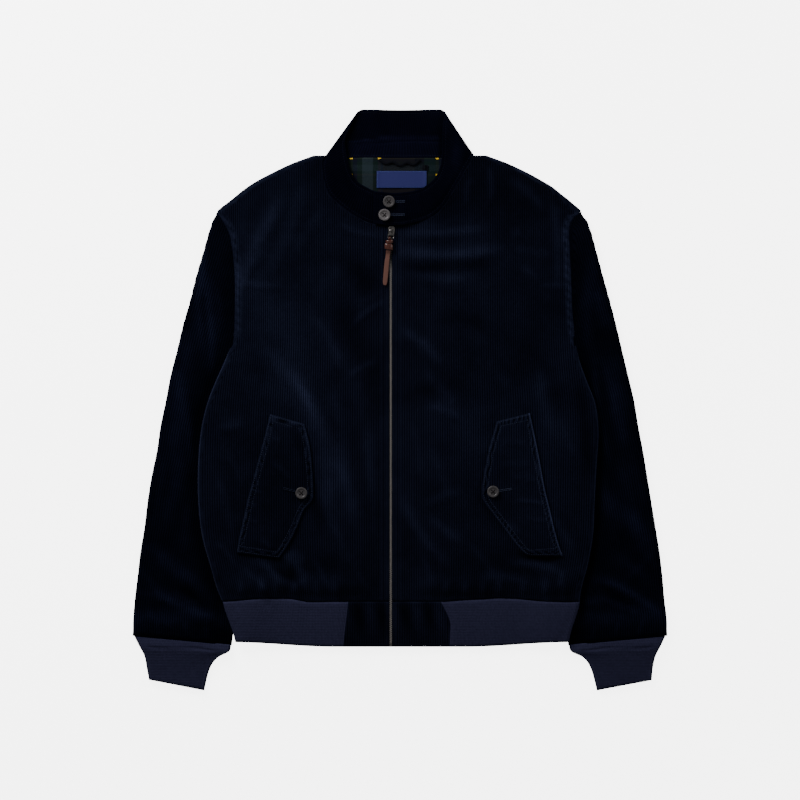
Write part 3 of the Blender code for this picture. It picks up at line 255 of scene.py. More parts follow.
FINE_BODY_FOLDS = [
    (-236, 120, -196, 196, -4, 6, 1.2),
    (-150, 176, -96, 262, 5, 8, 0.9),
    (-120, 120, -60, 196, 6, 10, 0.7),
    (-96, 20, -70, -120, 6, 7, 1),
    (-116, -92, -62, -226, -5, 6, 1.1),
    (-46, -60, -34, -196, 3, 5, 0.9),
    (-234, -70, -212, -118, 2, 5, 0.9),
    (-252, -96, -226, -180, 4, 6, 1),
    (-214, -228, -176, -262, 2, 4, 1.4),
    (-118, -214, -96, -258, 2, 4.5, 1.3),
    (-60, -228, -44, -262, 1, 4, 0.9),
    (14, 168, 96, 164, -3, 6, 1),
    (150, 206, 206, 196, -3, 6, 1),
    (194, 154, 222, 153, 0, 3, 1.4),
    (60, 110, 120, 66, 5, 9, 0.8),
    (104, 60, 150, 6, 4, 9, 0.8),
    (36, -60, 66, -140, 5, 7, 0.9),
    (16, -30, 30, -110, 3, 5, 0.7),
    (92, -196, 128, -240, 3, 5, 1.2),
    (30, -214, 46, -256, 2, 4.5, 1.1),
    (196, -150, 236, -214, 4, 6, 1.1),
    (216, -20, 246, -90, -4, 7, 1),
    (-24, 150, -62, 126, 3, 6, 0.8),
    (-26, 60, -58, 30, 3, 6, 0.8),
    (-121, 119, -74, 34, 4, 7, 1.5),
    (-64, 100, -18, 134, 3, 4.5, 1.8),
    (-68, 32, -33, 52, 2, 4.5, 1.6),
    (-80, 236, -27, 220, -3, 4.5, 1.7),
    (-92, 196, -38, 144, 8, 15, -1.4),
    (-221, 160, -159, 154, -3, 4.5, 1.6),
    (-141, 28, -110, -36, 2, 6, 1.5),
    (-150, -206, -128, -222, 2, 7, 2),
    (-174, -228, -138, -244, 0, 5, -1.8),
    (-247, -192, -222, -226, 2, 4, 1.5),
    (-140, -236, -121, -270, 2, 4, 1.5),
    (150, 220, 163, 227, 0, 7, 1.4),
    (166, 178, 188, 158, 1, 4.5, 1.5),
    (36, -9, 84, -28, 3, 6, 1.8),
    (36, -142, 84, -124, 2, 6, 1.3),
    (218, -230, 214, -254, 2, 4.5, 1.6),
    (160, -209, 214, -215, -2, 4, -2.2),
    (240, 30, 252, -120, 5, 9, -1.4),
    (-174, -50, -160, -56, 0, 4, 1.3),
    (-174, -83, -147, -109, 2, 4, 1.4),
    (-190, -64, -178, -66, 0, 2.6, 0.9),
    (-196, -84, -180, -87, 0, 2.6, 1),
    (-200, -103, -187, -104, 0, 2.4, 0.9),
    (-204, -121, -186, -126, 0, 2.8, 1),
    (-207, -141, -192, -143, 0, 2.4, 0.9),
    (-211, -159, -190, -166, 0, 2.8, 1.1),
    (-188, -188, -172, -202, 0, 3.4, 1.1),
    (148, -105, 189, -109, 2, 3.4, 1.1),
    (135, -86, 176, -84, -2, 3.4, 1),
    (155, -137, 196, -142, 2, 3.4, 1.1),
    (142, -168, 164, -184, 2, 4.5, 1.4),
    (170, -160, 200, -164, 0, 2.8, 1),
    (138, -60, 170, -58, 1, 3.4, 0.9),
]

# %% Gathers above the hem band
# x, half width, height
HEM_GATHERS = [
    (-214, 5, 2),
    (-186, 5.5, 2.6),
    (-168, 4.5, 1.6),
    (-142, 6, 2.4),
    (-112, 5, 1.7),
    (-88, 6, 1.9),
    (62, 5, 1.6),
    (88, 6, 2.4),
    (112, 4.5, 1.8),
    (134, 5.5, 2.5),
    (166, 5, 1.8),
    (196, 6, 2.6),
    (220, 4.5, 1.6),
]

# %% Folds of the sleeves
# start x, y, end x, y, bend, half width, height
SLEEVE_FOLDS = [
    (-274, 110, -306, -90, -6, 10, 2.2),
    (-262, 180, -250, 60, 4, 8, 1.6),
    (-290, -60, -326, -190, 5, 11, 1.9),
    (-338, -254, -252, -298, -5, 7.5, 3),
    (-346, -286, -300, -306, -3, 6, 1.8),
    (-330, -212, -280, -246, -4, 8, 1.8),
    (258, 190, 256, 60, -3, 8, 2),
    (284, 60, 304, -70, 4, 10, 2.2),
    (300, -70, 330, -200, -5, 11, 1.8),
    (272, -240, 352, -298, 4, 7.5, 3),
    (258, -268, 326, -288, 3, 6.5, 2.4),
    (284, -212, 340, -250, 4, 8, 1.6),
]
FINE_SLEEVE_FOLDS = [
    (-262, 214, -276, 120, 4, 6, 1.2),
    (-246, 150, -242, 92, 2, 5, 1.1),
    (-286, 30, -300, -60, 4, 6, 1),
    (-318, -80, -336, -180, 3, 5, 0.9),
    (-276, -120, -292, -206, -4, 7, 1),
    (-352, -226, -312, -268, -3, 5, 1.2),
    (-306, -262, -262, -276, -2, 4.5, 1.3),
    (-330, -300, -322, -318, 0, 3.5, 1.2),
    (-290, -300, -286, -322, 0, 3.5, 1.3),
    (-262, -306, -258, -326, 0, 3.5, 1.1),
    (262, 206, 276, 118, -4, 6, 1.2),
    (246, 140, 244, 96, -2, 5, 1),
    (292, 26, 306, -74, -4, 6, 0.9),
    (312, -60, 334, -150, -3, 6, 1),
    (268, -100, 290, -196, 4, 8, 1),
    (346, -200, 300, -246, 3, 5, 1.2),
    (318, -358, 322, -374, 0, 2, 0.6),
    (330, -296, 322, -318, 0, 3.5, 1.2),
    (296, -300, 290, -322, 0, 3.5, 1.2),
    (264, -304, 258, -326, 0, 3.5, 1.1),
    (-266, 188, -262, 50, -6, 6, 2),
    (-307, 50, -285, -70, 5, 7, 1.8),
    (-284, 186, -296, 96, 3, 8, -1.2),
    (-348, -196, -256, -270, 8, 8, 1.8),
    (-348, -262, -229, -307, 6, 4, 1.8),
    (-300, -252, -262, -284, 3, 5, -1.6),
    (271, 54, 290, -32, 5, 6, 2),
    (264, 150, 284, 90, -3, 9, 1.5),
    (263, -129, 331, -208, 6, 11, 1.7),
    (256, -241, 357, -293, 7, 5, 2),
    (241, -270, 272, -279, 2, 5, 1.9),
    (276, -262, 320, -280, 0, 5, -1.6),
    (322, -196, 352, -236, 0, 6, 1.3),
]

# %% [markdown]
# ## Reading a table
# The outlines are read by a smooth curve through their rows, or by straight lines where a corner is sharp.
# Numpy reads a whole panel in one call, which matters with fifty thousand points.


# %% Curves through the rows
def reading(table, at, column):
    """One column of a table at places in its first column, by a smooth curve."""
    rows = sorted(table)
    keys = np.array([row[0] for row in rows])
    values = np.array([row[column] for row in rows])
    return curve(keys, values, at)


def curve(keys, values, at):
    """Smooth values between rising keys."""
    slopes = np.gradient(values, keys)
    at = np.clip(at, keys[0], keys[-1])
    cell = np.clip(np.searchsorted(keys, at, side="right") - 1, 0, len(keys) - 2)
    width = keys[cell + 1] - keys[cell]
    t = (at - keys[cell]) / width
    start = (2 * t**3 - 3 * t**2 + 1) * values[cell] + (t**3 - 2 * t**2 + t) * width * slopes[cell]
    end = (3 * t**2 - 2 * t**3) * values[cell + 1] + (t**3 - t**2) * width * slopes[cell + 1]
    return start + end


def straight(table, at, column):
    """The same by straight lines."""
    rows = sorted(table)
    return np.interp(at, [row[0] for row in rows], [row[column] for row in rows])


def ease(t):
    """0 to 1 with level ends."""
    t = np.clip(t, 0.0, 1.0)
    return t * t * (3 - 2 * t)


def bell(distance, width):
    """1 at no distance, fading to both sides."""
    return np.exp(-((distance / width) ** 2))


def turned(distance, radius):
    """How far up its rounding a cloth edge is at a distance in from the outline, 0 to 1."""
    t = 1 - np.clip(np.asarray(distance, float) / radius, 0.0, 1.0)
    return np.sqrt(1 - t * t)


def folded(table, x, y):
    """Height of the folds of a table at points of the plan."""
    total = np.zeros_like(x + y)
    for x0, y0, x1, y1, bend, half, height in table:
        length = math.hypot(x1 - x0, y1 - y0)
        ux, uy = (x1 - x0) / length, (y1 - y0) / length
        along = ((x - x0) * ux + (y - y0) * uy) / length
        side = (x - x0) * -uy + (y - y0) * ux
        side = side - bend * 4 * np.clip(along, 0, 1) * (1 - np.clip(along, 0, 1))
        fade = ease((along + 0.12) / 0.4) * ease((1.12 - along) / 0.4)
        total = total + height * fade * bell(side, half)
    return total


print("body is", round(float(reading(BODY_EDGE, -55.5, 2) - reading(BODY_EDGE, -55.5, 1))), "mm wide")

# %% [markdown]
# ## The three heights
# A flat jacket is a stack. The sleeves and the back lie on the table, the body's sides lie on the sleeves, and
# the fronts lie on the back. So the shape of every panel is a height over the plan, and three functions give
# them all: how far the sleeves lift the body, the upper face of the fronts, and the upper face of a sleeve.
# Both folds and outlines come into it, and a fold dies out where a seam holds the cloth down.


# %% Heights over the plan
def body_creases(x, y):
    """Folds and gathers of the body alone."""
    gathers = sum(h * bell(x - at, half) for at, half, h in HEM_GATHERS) * bell(y + 257.0, 13.0)
    return folded(BODY_FOLDS, x, y) + folded(FINE_BODY_FOLDS, x, y) + gathers


def sleeve_creases(x, y):
    """Folds of the sleeves alone, with the roll above each cuff."""
    return folded(SLEEVE_FOLDS, x, y) + folded(FINE_SLEEVE_FOLDS, x, y) + 2.6 * bell(y + 296.0, 12.0)


# broad bands of painted sheen and painted shadow over the nap, lighter or darker by their sign: start x, y, end
# x, y, bend, half width, strength
SWEEPS = [
    (-214, 192, -75, -202, 12, 27, 0.9),
    (-97, 154, -21, -20, 6, 20, -0.8),
    (120, 232, 40, 150, 8, 24, 0.7),
    (30, 20, 150, -70, -10, 22, 0.6),
    (150, 120, 215, -40, 8, 24, -0.7),
    (-190, -210, -60, -235, 6, 16, -0.7),
    (60, -215, 190, -222, 6, 16, -0.6),
    (46, 110, 120, 103, 0, 12, -1.1),
    (24, 17, 70, 5, 2, 13, -1),
    (30, 152, 90, 146, 0, 8, -0.6),
]


def body_painted_light(x, y):
    """Painted light on the body's nap: lighter fold tops, darker hollows, painted bands, highlights and shade.
    """
    edge = np.minimum(x - reading(BODY_EDGE, y, 1), reading(BODY_EDGE, y, 2) - x)
    # painted highlight along the side edges, below the armholes
    painted_highlight = 4.0 * bell(edge - 0.6, 0.9) * ease((70.0 - y) / 25.0)
    # darker towards the shoulders
    shoulder = (0.5 + 0.5 * ease(x / 60.0)) * ease((y - 225.0) / 45.0)
    # painted highlight on the band between the two rows of armhole stitches
    armhole = (1.5 + 1.1 * ease(x / 60.0)) * bell(edge - 5.0, 4.0) * ease((y - 60.0) / 40.0)
    armhole = armhole * (1 + 0.8 * np.sin(y / 1.9 + x / 2.5))
    # painted shade along the hem seam
    seam = 1.2 * bell(y - straight(HEM_SEAM, x, 1), 3.0)
    return 0.8 * body_creases(x, y) + folded(SWEEPS, x, y) + painted_highlight + armhole - shoulder - seam


# painted highlight streaks along the sleeve folds: start x, y, end x, y, bend, half width, strength
SLEEVE_SWEEPS = [
    (-268, 182, -255, 36, 5, 5, 2.6),
    (-285, -8, -283, -88, 0, 4, 1.5),
    (-330, -205, -262, -255, -4, 7, 1),
    (261, 66, 284, -88, -5, 5, 2.2),
    (280, -128, 344, -204, 5, 8, 1.5),
]


def sleeve_painted_light(x, y):
    """Painted light on the sleeves' nap: lighter streaks and fold tops, darker hollows, painted shadow beside
    the body.
    """
    low, high = reading(BODY_EDGE, y, 1), reading(BODY_EDGE, y, 2)
    away = np.maximum(np.maximum(low - x, x - high), 0.0)
    shade = 0.95 * bell(away, 15.0) * ease((ARM_TOP - 15.0 - y) / 60.0)
    return 0.95 * sleeve_creases(x, y) + folded(SLEEVE_SWEEPS, x, y) - shade


def rise(x, y):
    """How far the sleeves lift the body above the table."""
    reach_left = reading(UNDER_EDGE, y, 1) + PLATEAU
    reach_right = reading(UNDER_EDGE, y, 2) - PLATEAU
    left = ease((reach_left + RAMP - x) / RAMP)
    right = ease((x - reach_right + RAMP) / RAMP)
    below_arm = ease((82.0 - y) / 38.0)
    past_hem = ease((y + 352.0) / 30.0)
    return RISE * np.maximum(left, right) * below_arm * past_hem


def body_top(x, y):
    """Height of the fronts' outer face."""
    edge = np.minimum(x - reading(BODY_EDGE, y, 1), reading(BODY_EDGE, y, 2) - x)
    neck_left = straight(FRONT_EDGE, y, 1)
    neck_right = straight(FRONT_EDGE, y, 2)
    inner = np.where(x < ZIP_X, neck_left - x, x - neck_right)
    free = ease((edge - 4.0) / 16.0) * ease((inner - 2.0) / 14.0) * ease((y - HEM_Y - 1.0) / 14.0)
    puff = 1.6 * ease((inner - 10.0) / 60.0) * ease((edge - 8.0) / 50.0) * ease((y - HEM_Y) / 60.0)
    blouse = 3.0 * bell(y + 250.0, 13.0) * ease((inner - 12.0) / 40.0)
    lift = puff + free * (body_creases(x, y) + blouse)
    return rise(x, y) + LEVEL + np.maximum(lift, -1.8)


def sleeve_top(x, y):
    """Height of a sleeve's upper face, pressed down where the body lies on it."""
    outer = np.minimum(x - reading(SLEEVE_EDGE, y, 1), reading(SLEEVE_EDGE, y, 2) - x)
    from_body = np.maximum(reading(BODY_EDGE, y, 1) - x, x - reading(BODY_EDGE, y, 2))
    free = ease((from_body - 5.0) / 16.0) * ease((y + 326.0) / 14.0) * ease((outer + 2.0) / 10.0)
    lift = free * (1.2 * ease((ARM_TOP - y) / 80.0) + sleeve_creases(x, y))
    pressed = (1 - ease((from_body - 4.0) / 10.0)) * ease((62.0 - y) / 18.0)
    return LEVEL + np.maximum(lift, -0.8) - (LEVEL - TUCKED) * pressed


print("highest fold of the fronts", round(float(body_top(*np.meshgrid(
    np.linspace(-250, 250, 126), np.linspace(-270, 320, 148))).max()), 1), "mm")


# %% [markdown]
# ## Finishes
# Corduroy is a velvet in stripes: cut tufts stand up as ridges, called wales, and the bare ground shows in the
# channels between them. Its looks come from three things: hardly any light comes back from the channels, the
# tips of the tufts glow a little when seen from the side, and the nap lies in clouds where it was brushed. The
# first is painted shade, a colour read from the ridge's own height; the second the shader's sheen; the third a
# slow noise. Each point also carries painted light for the nap: lighter over the top of a fold, darker in a
# hollow, and painted highlights and shadows of each piece. The same nap is used on several pieces, so it is a
# node group.

# %% Helpers for materials
finishes = {}


def finish(name, roughness=0.8, metallic=0.0, **more):
    """A new material, its node tree and its Principled shader."""
    made = bpy.data.materials.new(name)
    made.use_nodes = True
    shader = made.node_tree.nodes["Principled BSDF"]
    for socket, value in {"Roughness": roughness, "Metallic": metallic, **more}.items():
        shader.inputs[socket.replace("_", " ")].default_value = value
    finishes[name] = made
    return made, made.node_tree, shader


def fed(tree, made, feeds):
    """A node with its inputs filled: each with a value, or from a socket or the live output of a node."""
    for key, value in feeds.items():
        if isinstance(value, bpy.types.Node):
            value = next(socket for socket in value.outputs if socket.enabled)
        if isinstance(value, bpy.types.NodeSocket):
            tree.links.new(value, made.inputs[key])
        elif value is not None:
            made.inputs[key].default_value = value
    return made


def node(tree, kind, *feeds, named=None, **settings):
    """A node with its settings, fed in the order of its inputs and by their names."""
    made = tree.nodes.new(kind)
    for key, value in settings.items():
        setattr(made, key, value)
    return fed(tree, made, {**dict(enumerate(feeds)), **(named or {})})


def new_tree(name, kind, inputs, outputs):
    """An empty node group with named inputs and outputs: the tree, its inputs and its end node."""
    tree = bpy.data.node_groups.new(name, kind)
    for label, sort, value in inputs:
        socket = tree.interface.new_socket(label, in_out="INPUT", socket_type="NodeSocket" + sort)
        if value is not None:
            socket.default_value = value
    for label, sort in outputs:
        tree.interface.new_socket(label, in_out="OUTPUT", socket_type="NodeSocket" + sort)
    return tree, tree.nodes.new("NodeGroupInput").outputs, tree.nodes.new("NodeGroupOutput")


def sums(tree, operation, *feeds):
    """One step of arithmetic."""
    return node(tree, "ShaderNodeMath", *feeds, operation=operation)


def spread(tree, value, *limits):
    """A value taken from one range, low and high, to another."""
    return node(tree, "ShaderNodeMapRange", value, *limits)


def noise(tree, scale, detail=2.0, roughness=0.5):
    """Noise on the piece's own coordinates."""
    return node(tree, "ShaderNodeTexNoise", place_of(tree), None, scale, detail, roughness)


def bands(tree, direction, scale, distortion=0.0):
    """Even waves along one of the piece's own axes."""
    return node(tree, "ShaderNodeTexWave", place_of(tree), scale, distortion, wave_type="BANDS",
                bands_direction=direction).outputs["Fac"]


def place_of(tree):
    return node(tree, "ShaderNodeTexCoord").outputs["Object"]


def noted(tree, label):
    """What a point of the mesh carries under a name."""
    return node(tree, "ShaderNodeAttribute", attribute_name=label).outputs["Fac"]


def scaled(tree, vector, share):
    """A colour or a direction times a number."""
    return node(tree, "ShaderNodeVectorMath", vector, named={"Scale": share}, operation="SCALE")


def mixed(tree, share, first, second):
    """One colour going over to another."""
    return node(tree, "ShaderNodeMix", share, named={6: first, 7: second}, data_type="RGBA")


def surface(tree, shader, colour, height, strength, depth):
    """Gives a shader its colour and, as a bump, its fine relief."""
    relief = node(tree, "ShaderNodeBump", strength, depth, named={"Height": height})
    fed(tree, shader, {"Base Color": colour, "Normal": relief})


# %% The nap group
def nap_group():
    """Colour and height of a pile: channels in painted shade, tips in painted light, clouds and single tufts."""
    tree, start, end = new_tree("nap", "ShaderNodeTree", [
        ("Ground", "Color", (0, 0, 0, 1)), ("Tips", "Color", (0, 0, 0, 1)),
        ("Cloud size", "Float", 30.0), ("Tuft size", "Float", 900.0),
    ], [("Colour", "Color"), ("Height", "Float"), ("Roughness", "Float")])
    clouds, broad = noise(tree, start["Cloud size"], 4.0, 0.7), noise(tree, 7.0)
    tufts = noise(tree, start["Tuft size"])
    worn = spread(tree, sums(tree, "ADD", clouds, broad), 0.76, 1.24, 0.72, 1.28)
    # painted light: the tips are lighter on painted highlights and the tops of folds, darker in painted shade
    painted_light_share = spread(tree, noted(tree, "painted_light"), -1.5, 6.0, 0.4, 3.4)
    grain = spread(tree, tufts, 0.25, 0.75, 0.7, 1.3)
    light = sums(tree, "MULTIPLY", sums(tree, "MULTIPLY", worn, painted_light_share), grain)
    colour = mixed(tree, noted(tree, "pile"), start["Ground"], scaled(tree, start["Tips"], light))
    rough = spread(tree, clouds, 0.3, 0.7, 0.8, 0.98)
    fed(tree, end, {"Colour": colour, "Height": tufts, "Roughness": rough})
    return tree


NAP = nap_group()


def piled_finish(name, ground, tips, sheen, sheen_tint):
    """A material of brushed pile. It has no gloss of its own: what glows is the sheen of the tufts."""
    made, tree, shader = finish(name, Specular_IOR_Level=0.0, Sheen_Weight=sheen, Sheen_Roughness=0.38,
                                Sheen_Tint=(*sheen_tint, 1.0))
    nap = node(tree, "ShaderNodeGroup", (*ground, 1.0), (*tips, 1.0), node_tree=NAP)
    surface(tree, shader, nap.outputs["Colour"], nap.outputs["Height"], 0.5, 0.0004)
    fed(tree, shader, {"Roughness": nap.outputs["Roughness"]})
    return made


# the channels' colour: the bare ground, painted far darker as shade
NAVY_GROUND = (0.0004, 0.0005, 0.0014)
NAVY_TIPS = (0.0036, 0.0045, 0.0101)
corduroy = piled_finish("corduroy", NAVY_GROUND, NAVY_TIPS, 0.02, (0.85, 0.78, 1.0))
# the sleeves take a darker copy of the corduroy: painted shade
corduroy_sleeve = piled_finish("corduroy_sleeve", NAVY_GROUND, (0.0016, 0.0020, 0.0049), 0.009,
                               (0.6, 0.65, 1.0))
corduroy_collar = piled_finish("corduroy_collar", NAVY_GROUND, (0.0013, 0.0014, 0.0042), 0.006,
                               (0.6, 0.65, 1.0))
print("finishes so far", list(finishes))

# %% [markdown]
# ## Knit, thread, metal and leather
# The hem and cuffs are a fine rib knit in a matt navy yarn, a shade lighter than the corduroy because it has no
# deep pile to swallow the light. A knit's rows are small V shaped loops, made here as a bump along each rib.
# The sewing thread is a little glossy, so a stitch shows as a small light dot in its own dimple.


# %% Rib knit, thread and tapes
def knit_finish(name, colour, loops):
    """Matt yarn with rows of loops."""
    made, tree, shader = finish(name, 0.9, Specular_IOR_Level=0.0, Sheen_Weight=0.02, Sheen_Roughness=0.5,
                                Sheen_Tint=(0.6, 0.7, 1.0, 1.0))
    # painted shade in the channels between the ribs
    shade = spread(tree, noted(tree, "pile"), 0.0, 1.0, 0.75, 1.0)
    spots = spread(tree, noise(tree, 260.0), 0.3, 0.7, 0.9, 1.1)
    yarn = scaled(tree, colour, sums(tree, "MULTIPLY", shade, spots))
    surface(tree, shader, yarn, bands(tree, "Y", loops, 1.5), 0.6, 0.0003)
    return made


def noisy_finish(name, colour, roughness, scale, swing, depth, metallic=0.0, **more):
    """A plain surface whose shade and grain follow one noise."""
    made, tree, shader = finish(name, roughness, metallic, **more)
    grain = noise(tree, scale, 4.0)
    shade = spread(tree, grain, 0.3, 0.7, 1 - swing, 1 + swing)
    surface(tree, shader, scaled(tree, colour, shade), grain, 0.5, depth)
    return made


def wear_and_shade_along(made, start, end, pale):
    """Lets a finish go over to another colour along its own Y: real wear on the leather, painted shadow on the
    zip.
    """
    tree = made.node_tree
    shader = tree.nodes["Principled BSDF"]
    first = shader.inputs["Base Color"].links[0].from_socket
    along = node(tree, "ShaderNodeSeparateXYZ", place_of(tree)).outputs["Y"]
    fed(tree, shader, {"Base Color": mixed(tree, spread(tree, along, start, end), first, (*pale, 1.0))})


rib_knit = knit_finish("rib_knit", (0.0150, 0.0152, 0.0330), 150.0)
thread = noisy_finish("thread", (0.0170, 0.0210, 0.0400), 0.6, 900.0, 0.2, 0.0001, Specular_IOR_Level=0.05)
# a darker copy of the same thread, for the body and collar: painted shade
thread_shaded = noisy_finish("thread_shaded", (0.0050, 0.0062, 0.0140), 0.7, 900.0, 0.3, 0.0001,
                          Specular_IOR_Level=0.02)
thread_dark = noisy_finish("button_thread", (0.0040, 0.0025, 0.0030), 0.7, 900.0, 0.2, 0.0001,
                           Specular_IOR_Level=0.05)
label_thread = noisy_finish("label_thread", (0.012, 0.050, 0.200), 0.5, 900.0, 0.2, 0.0001)
zip_tape = noisy_finish("zip_tape", (0.0030, 0.0040, 0.0090), 0.9, 1200.0, 0.3, 0.0002, Specular_IOR_Level=0.0)
zip_metal = noisy_finish("zip_metal", (0.41, 0.375, 0.355), 0.36, 700.0, 0.45, 0.00004, 1.0)
slider_metal = noisy_finish("slider_metal", (0.150, 0.142, 0.138), 0.17, 500.0, 0.6, 0.00003, 1.0)
leather = noisy_finish("leather", (0.036, 0.0105, 0.0070), 0.28, 420.0, 0.35, 0.0003, Specular_IOR_Level=0.3)
horn = noisy_finish("button_horn", (0.028, 0.0255, 0.0265), 0.32, 160.0, 0.3, 0.00002, Specular_IOR_Level=0.4)
horn_pale = noisy_finish("button_horn_pale", (0.068, 0.062, 0.064), 0.32, 160.0, 0.3, 0.00002,
                         Specular_IOR_Level=0.4)
loop_tape = noisy_finish("loop_tape", (0.0012, 0.0014, 0.0030), 0.8, 900.0, 0.3, 0.0003,
                         Specular_IOR_Level=0.05)
wear_and_shade_along(leather, 0.2035, 0.1960, (0.080, 0.036, 0.028))
wear_and_shade_along(zip_metal, 0.176, 0.190, (0.05, 0.047, 0.045))      # painted shadow of the slider and the leather pull on the top of the teeth
print("finishes", list(finishes))

# %% [markdown]
# ## Tartan lining and the woven label
# A tartan crosses the same set of stripes with itself. Where two equal colours cross, the cloth is solid; where
# two different ones cross, a twill weave mixes them thread by thread in short diagonals. So one stripe rule is
# read twice, once across and once up, and a fine diagonal picks between the two readings. The thin yellow line
# is faint where it crosses dark threads and bright only where it crosses itself, so it is laid over the rest
# by the product of its two readings. The label is a plain blue satin weave, and is left bare.


# %% Stripes of the tartan
# place in the repeat (0 to 1) where each colour starts, then its colour
TARTAN = [
    (0.000, (0.0022, 0.0030, 0.0080)),
    (0.050, (0.0020, 0.0062, 0.0056)),
    (0.107, (0.0095, 0.0160, 0.0200)),
    (0.234, (0.0020, 0.0062, 0.0056)),
    (0.290, (0.0022, 0.0030, 0.0080)),
    (0.345, (0.0038, 0.0033, 0.0046)),
    (0.720, (0.0012, 0.0016, 0.0036)),
    (0.830, (0.0016, 0.0060, 0.0064)),
]
DARK, BRIGHT = (0.0, 0.0, 0.0), (1.0, 1.0, 1.0)
TARTAN_LINE = [(0.0, DARK), (0.290, BRIGHT), (0.325, DARK), (0.962, BRIGHT), (0.997, DARK)]
YELLOW = (0.42, 0.27, 0.012, 1.0)
WARP_REPEAT, WEFT_REPEAT = 0.1160, -0.0672       # metres; the weft is counted downward
WARP_START, WEFT_START = 0.0660, -0.3262
TWILL = 0.0012                                   # width of one diagonal of the weave


def stripes(tree, source, offset, repeat):
    """The stripe colours along one coordinate, and where its thin line is."""
    part = sums(tree, "FRACT", sums(tree, "DIVIDE", sums(tree, "ADD", source, offset + 0.98 * repeat), repeat))
    found = []
    for table in (TARTAN, TARTAN_LINE):
        ramp = node(tree, "ShaderNodeValToRGB", part)
        ramp.color_ramp.interpolation = "CONSTANT"
        stops = ramp.color_ramp.elements
        while len(stops) < len(table):
            stops.new(0.5)
        for stop, (at, colour) in zip(stops, table):
            stop.position = at
        for stop, (at, colour) in zip(stops, table):
            stop.color = (*colour, 1.0)
        found.append(ramp.outputs["Color"])
    return found


def tartan_finish():
    """Twill lining: warp and weft read the same stripes, and a diagonal picks between them."""
    made, tree, shader = finish("tartan_lining", 0.8, Specular_IOR_Level=0.05)
    x, y, z = node(tree, "ShaderNodeSeparateXYZ", place_of(tree)).outputs
    warp, warp_line = stripes(tree, x, WARP_START, WARP_REPEAT)
    weft, weft_line = stripes(tree, y, WEFT_START, WEFT_REPEAT)
    saw = sums(tree, "FRACT", sums(tree, "MULTIPLY", sums(tree, "ADD", x, y), 1.0 / TWILL))
    woven = mixed(tree, sums(tree, "GREATER_THAN", saw, 0.74), warp, weft)
    either, crossing = [sums(tree, kind, warp_line, weft_line) for kind in ("ADD", "MULTIPLY")]
    faint = sums(tree, "MULTIPLY_ADD", either, 0.006, crossing)
    surface(tree, shader, mixed(tree, faint, woven, YELLOW), saw, 0.35, 0.0002)
    return made


def woven_finish(name, colour, threads):
    """A satin weave of fine threads across and up."""
    made, tree, shader = finish(name, 0.5, Specular_IOR_Level=0.12)
    weave = sums(tree, "MULTIPLY", bands(tree, "X", threads), bands(tree, "Y", threads))
    surface(tree, shader, scaled(tree, colour, spread(tree, weave, 0.0, 1.0, 0.75, 1.1)), weave, 0.4, 0.0001)
    return made


tartan = tartan_finish()
label_blue = woven_finish("label_blue", (0.015, 0.017, 0.085), 420.0)
print("finishes", len(finishes))

# %% [markdown]
# ## From two grids to one piece of cloth
# A panel could be a plane with a Solidify modifier, but the corduroy's ridges need four columns of points each
# and the wrong side of the cloth needs none of them. So each panel is a closed wall between two grids of
# points: a dense outer face and a sparse inner one, with the rims closed by small polygons between them.
# The wales run straight while the outline curves, as on real cut cloth, so a column simply stops where the
# outline cuts it: its points are held at the edge, and those that fall together are one vertex.


# %% A wall from two grids
def grid(x, y, z):
    """Rows and columns of points from three arrays that stretch over each other."""
    return np.stack(np.broadcast_arrays(x, y, z), axis=2)


def joined(*parts):
    """Grids with equal rows, side by side."""
    return np.concatenate(parts, axis=1)


def new_piece(name, points=(), edges=(), faces=(), finishing=None, outward=False):
    """A mesh object at the origin, from points in millimetres. outward turns every face to the outside."""
    mesh = bpy.data.meshes.new(name)
    mesh.from_pydata((np.array(points) * MM).tolist(), edges, faces)
    if finishing:
        mesh.materials.append(finishing)
    if outward:
        body = bmesh.new()
        body.from_mesh(mesh)
        bmesh.ops.recalc_face_normals(body, faces=body.faces)
        body.to_mesh(mesh)
        body.free()
        mesh.shade_smooth()
    made = bpy.data.objects.new(name, mesh)
    bpy.context.scene.collection.objects.link(made)
    return made


def note(mesh, label, values, domain="POINT"):
    """Keeps a number on every point or face of a mesh."""
    mesh.attributes.new(label, "FLOAT", domain).data.foreach_set("value", values.astype(np.float32))


def numbered(points, first):
    """Vertex numbers of a grid in which neighbours of a row may fall together, and its points."""
    step = np.linalg.norm(np.diff(points, axis=1), axis=2)
    new = joined(np.ones((len(points), 1), bool), step > 2e-3)
    keys = np.cumsum(new.ravel()).reshape(new.shape) - 1 + first
    return keys, points[new], new


def spans(keys, upward, ring):
    """Faces between the rows of a numbered grid, without the ones that have no area."""
    if ring:
        keys = joined(keys, keys[:, :1])
    a, b, c, d = keys[:-1, :-1].ravel(), keys[:-1, 1:].ravel(), keys[1:, 1:].ravel(), keys[1:, :-1].ravel()
    whole = (a != b) & (c != d)
    low, high = (a == b) & (c != d), (a != b) & (c == d)
    faces = np.stack([a, b, c, d], axis=1)[whole].tolist()
    faces += np.stack([a, c, d], axis=1)[low].tolist()
    faces += np.stack([a, b, c], axis=1)[high].tolist()
    return faces if upward else [face[::-1] for face in faces]


def picked(count, step):
    """Every so many-th place of a row, with its last."""
    places = list(range(0, count - 1, step))
    if count - 1 - places[-1] < step / 2 and len(places) > 1:
        places.pop()
    return places + [count - 1]


def rim(outer, inner, stops, forward):
    """Polygons between the edge of a dense grid and that of a sparse one, which meets it at some stops."""
    loops = []
    for number, (first, last) in enumerate(zip(stops, stops[1:])):
        corners = outer[first:last + 1].tolist() + [int(inner[number + 1]), int(inner[number])]
        loops.append(list(dict.fromkeys(corners)))
    return [loop if forward else loop[::-1] for loop in loops if len(loop) > 2]


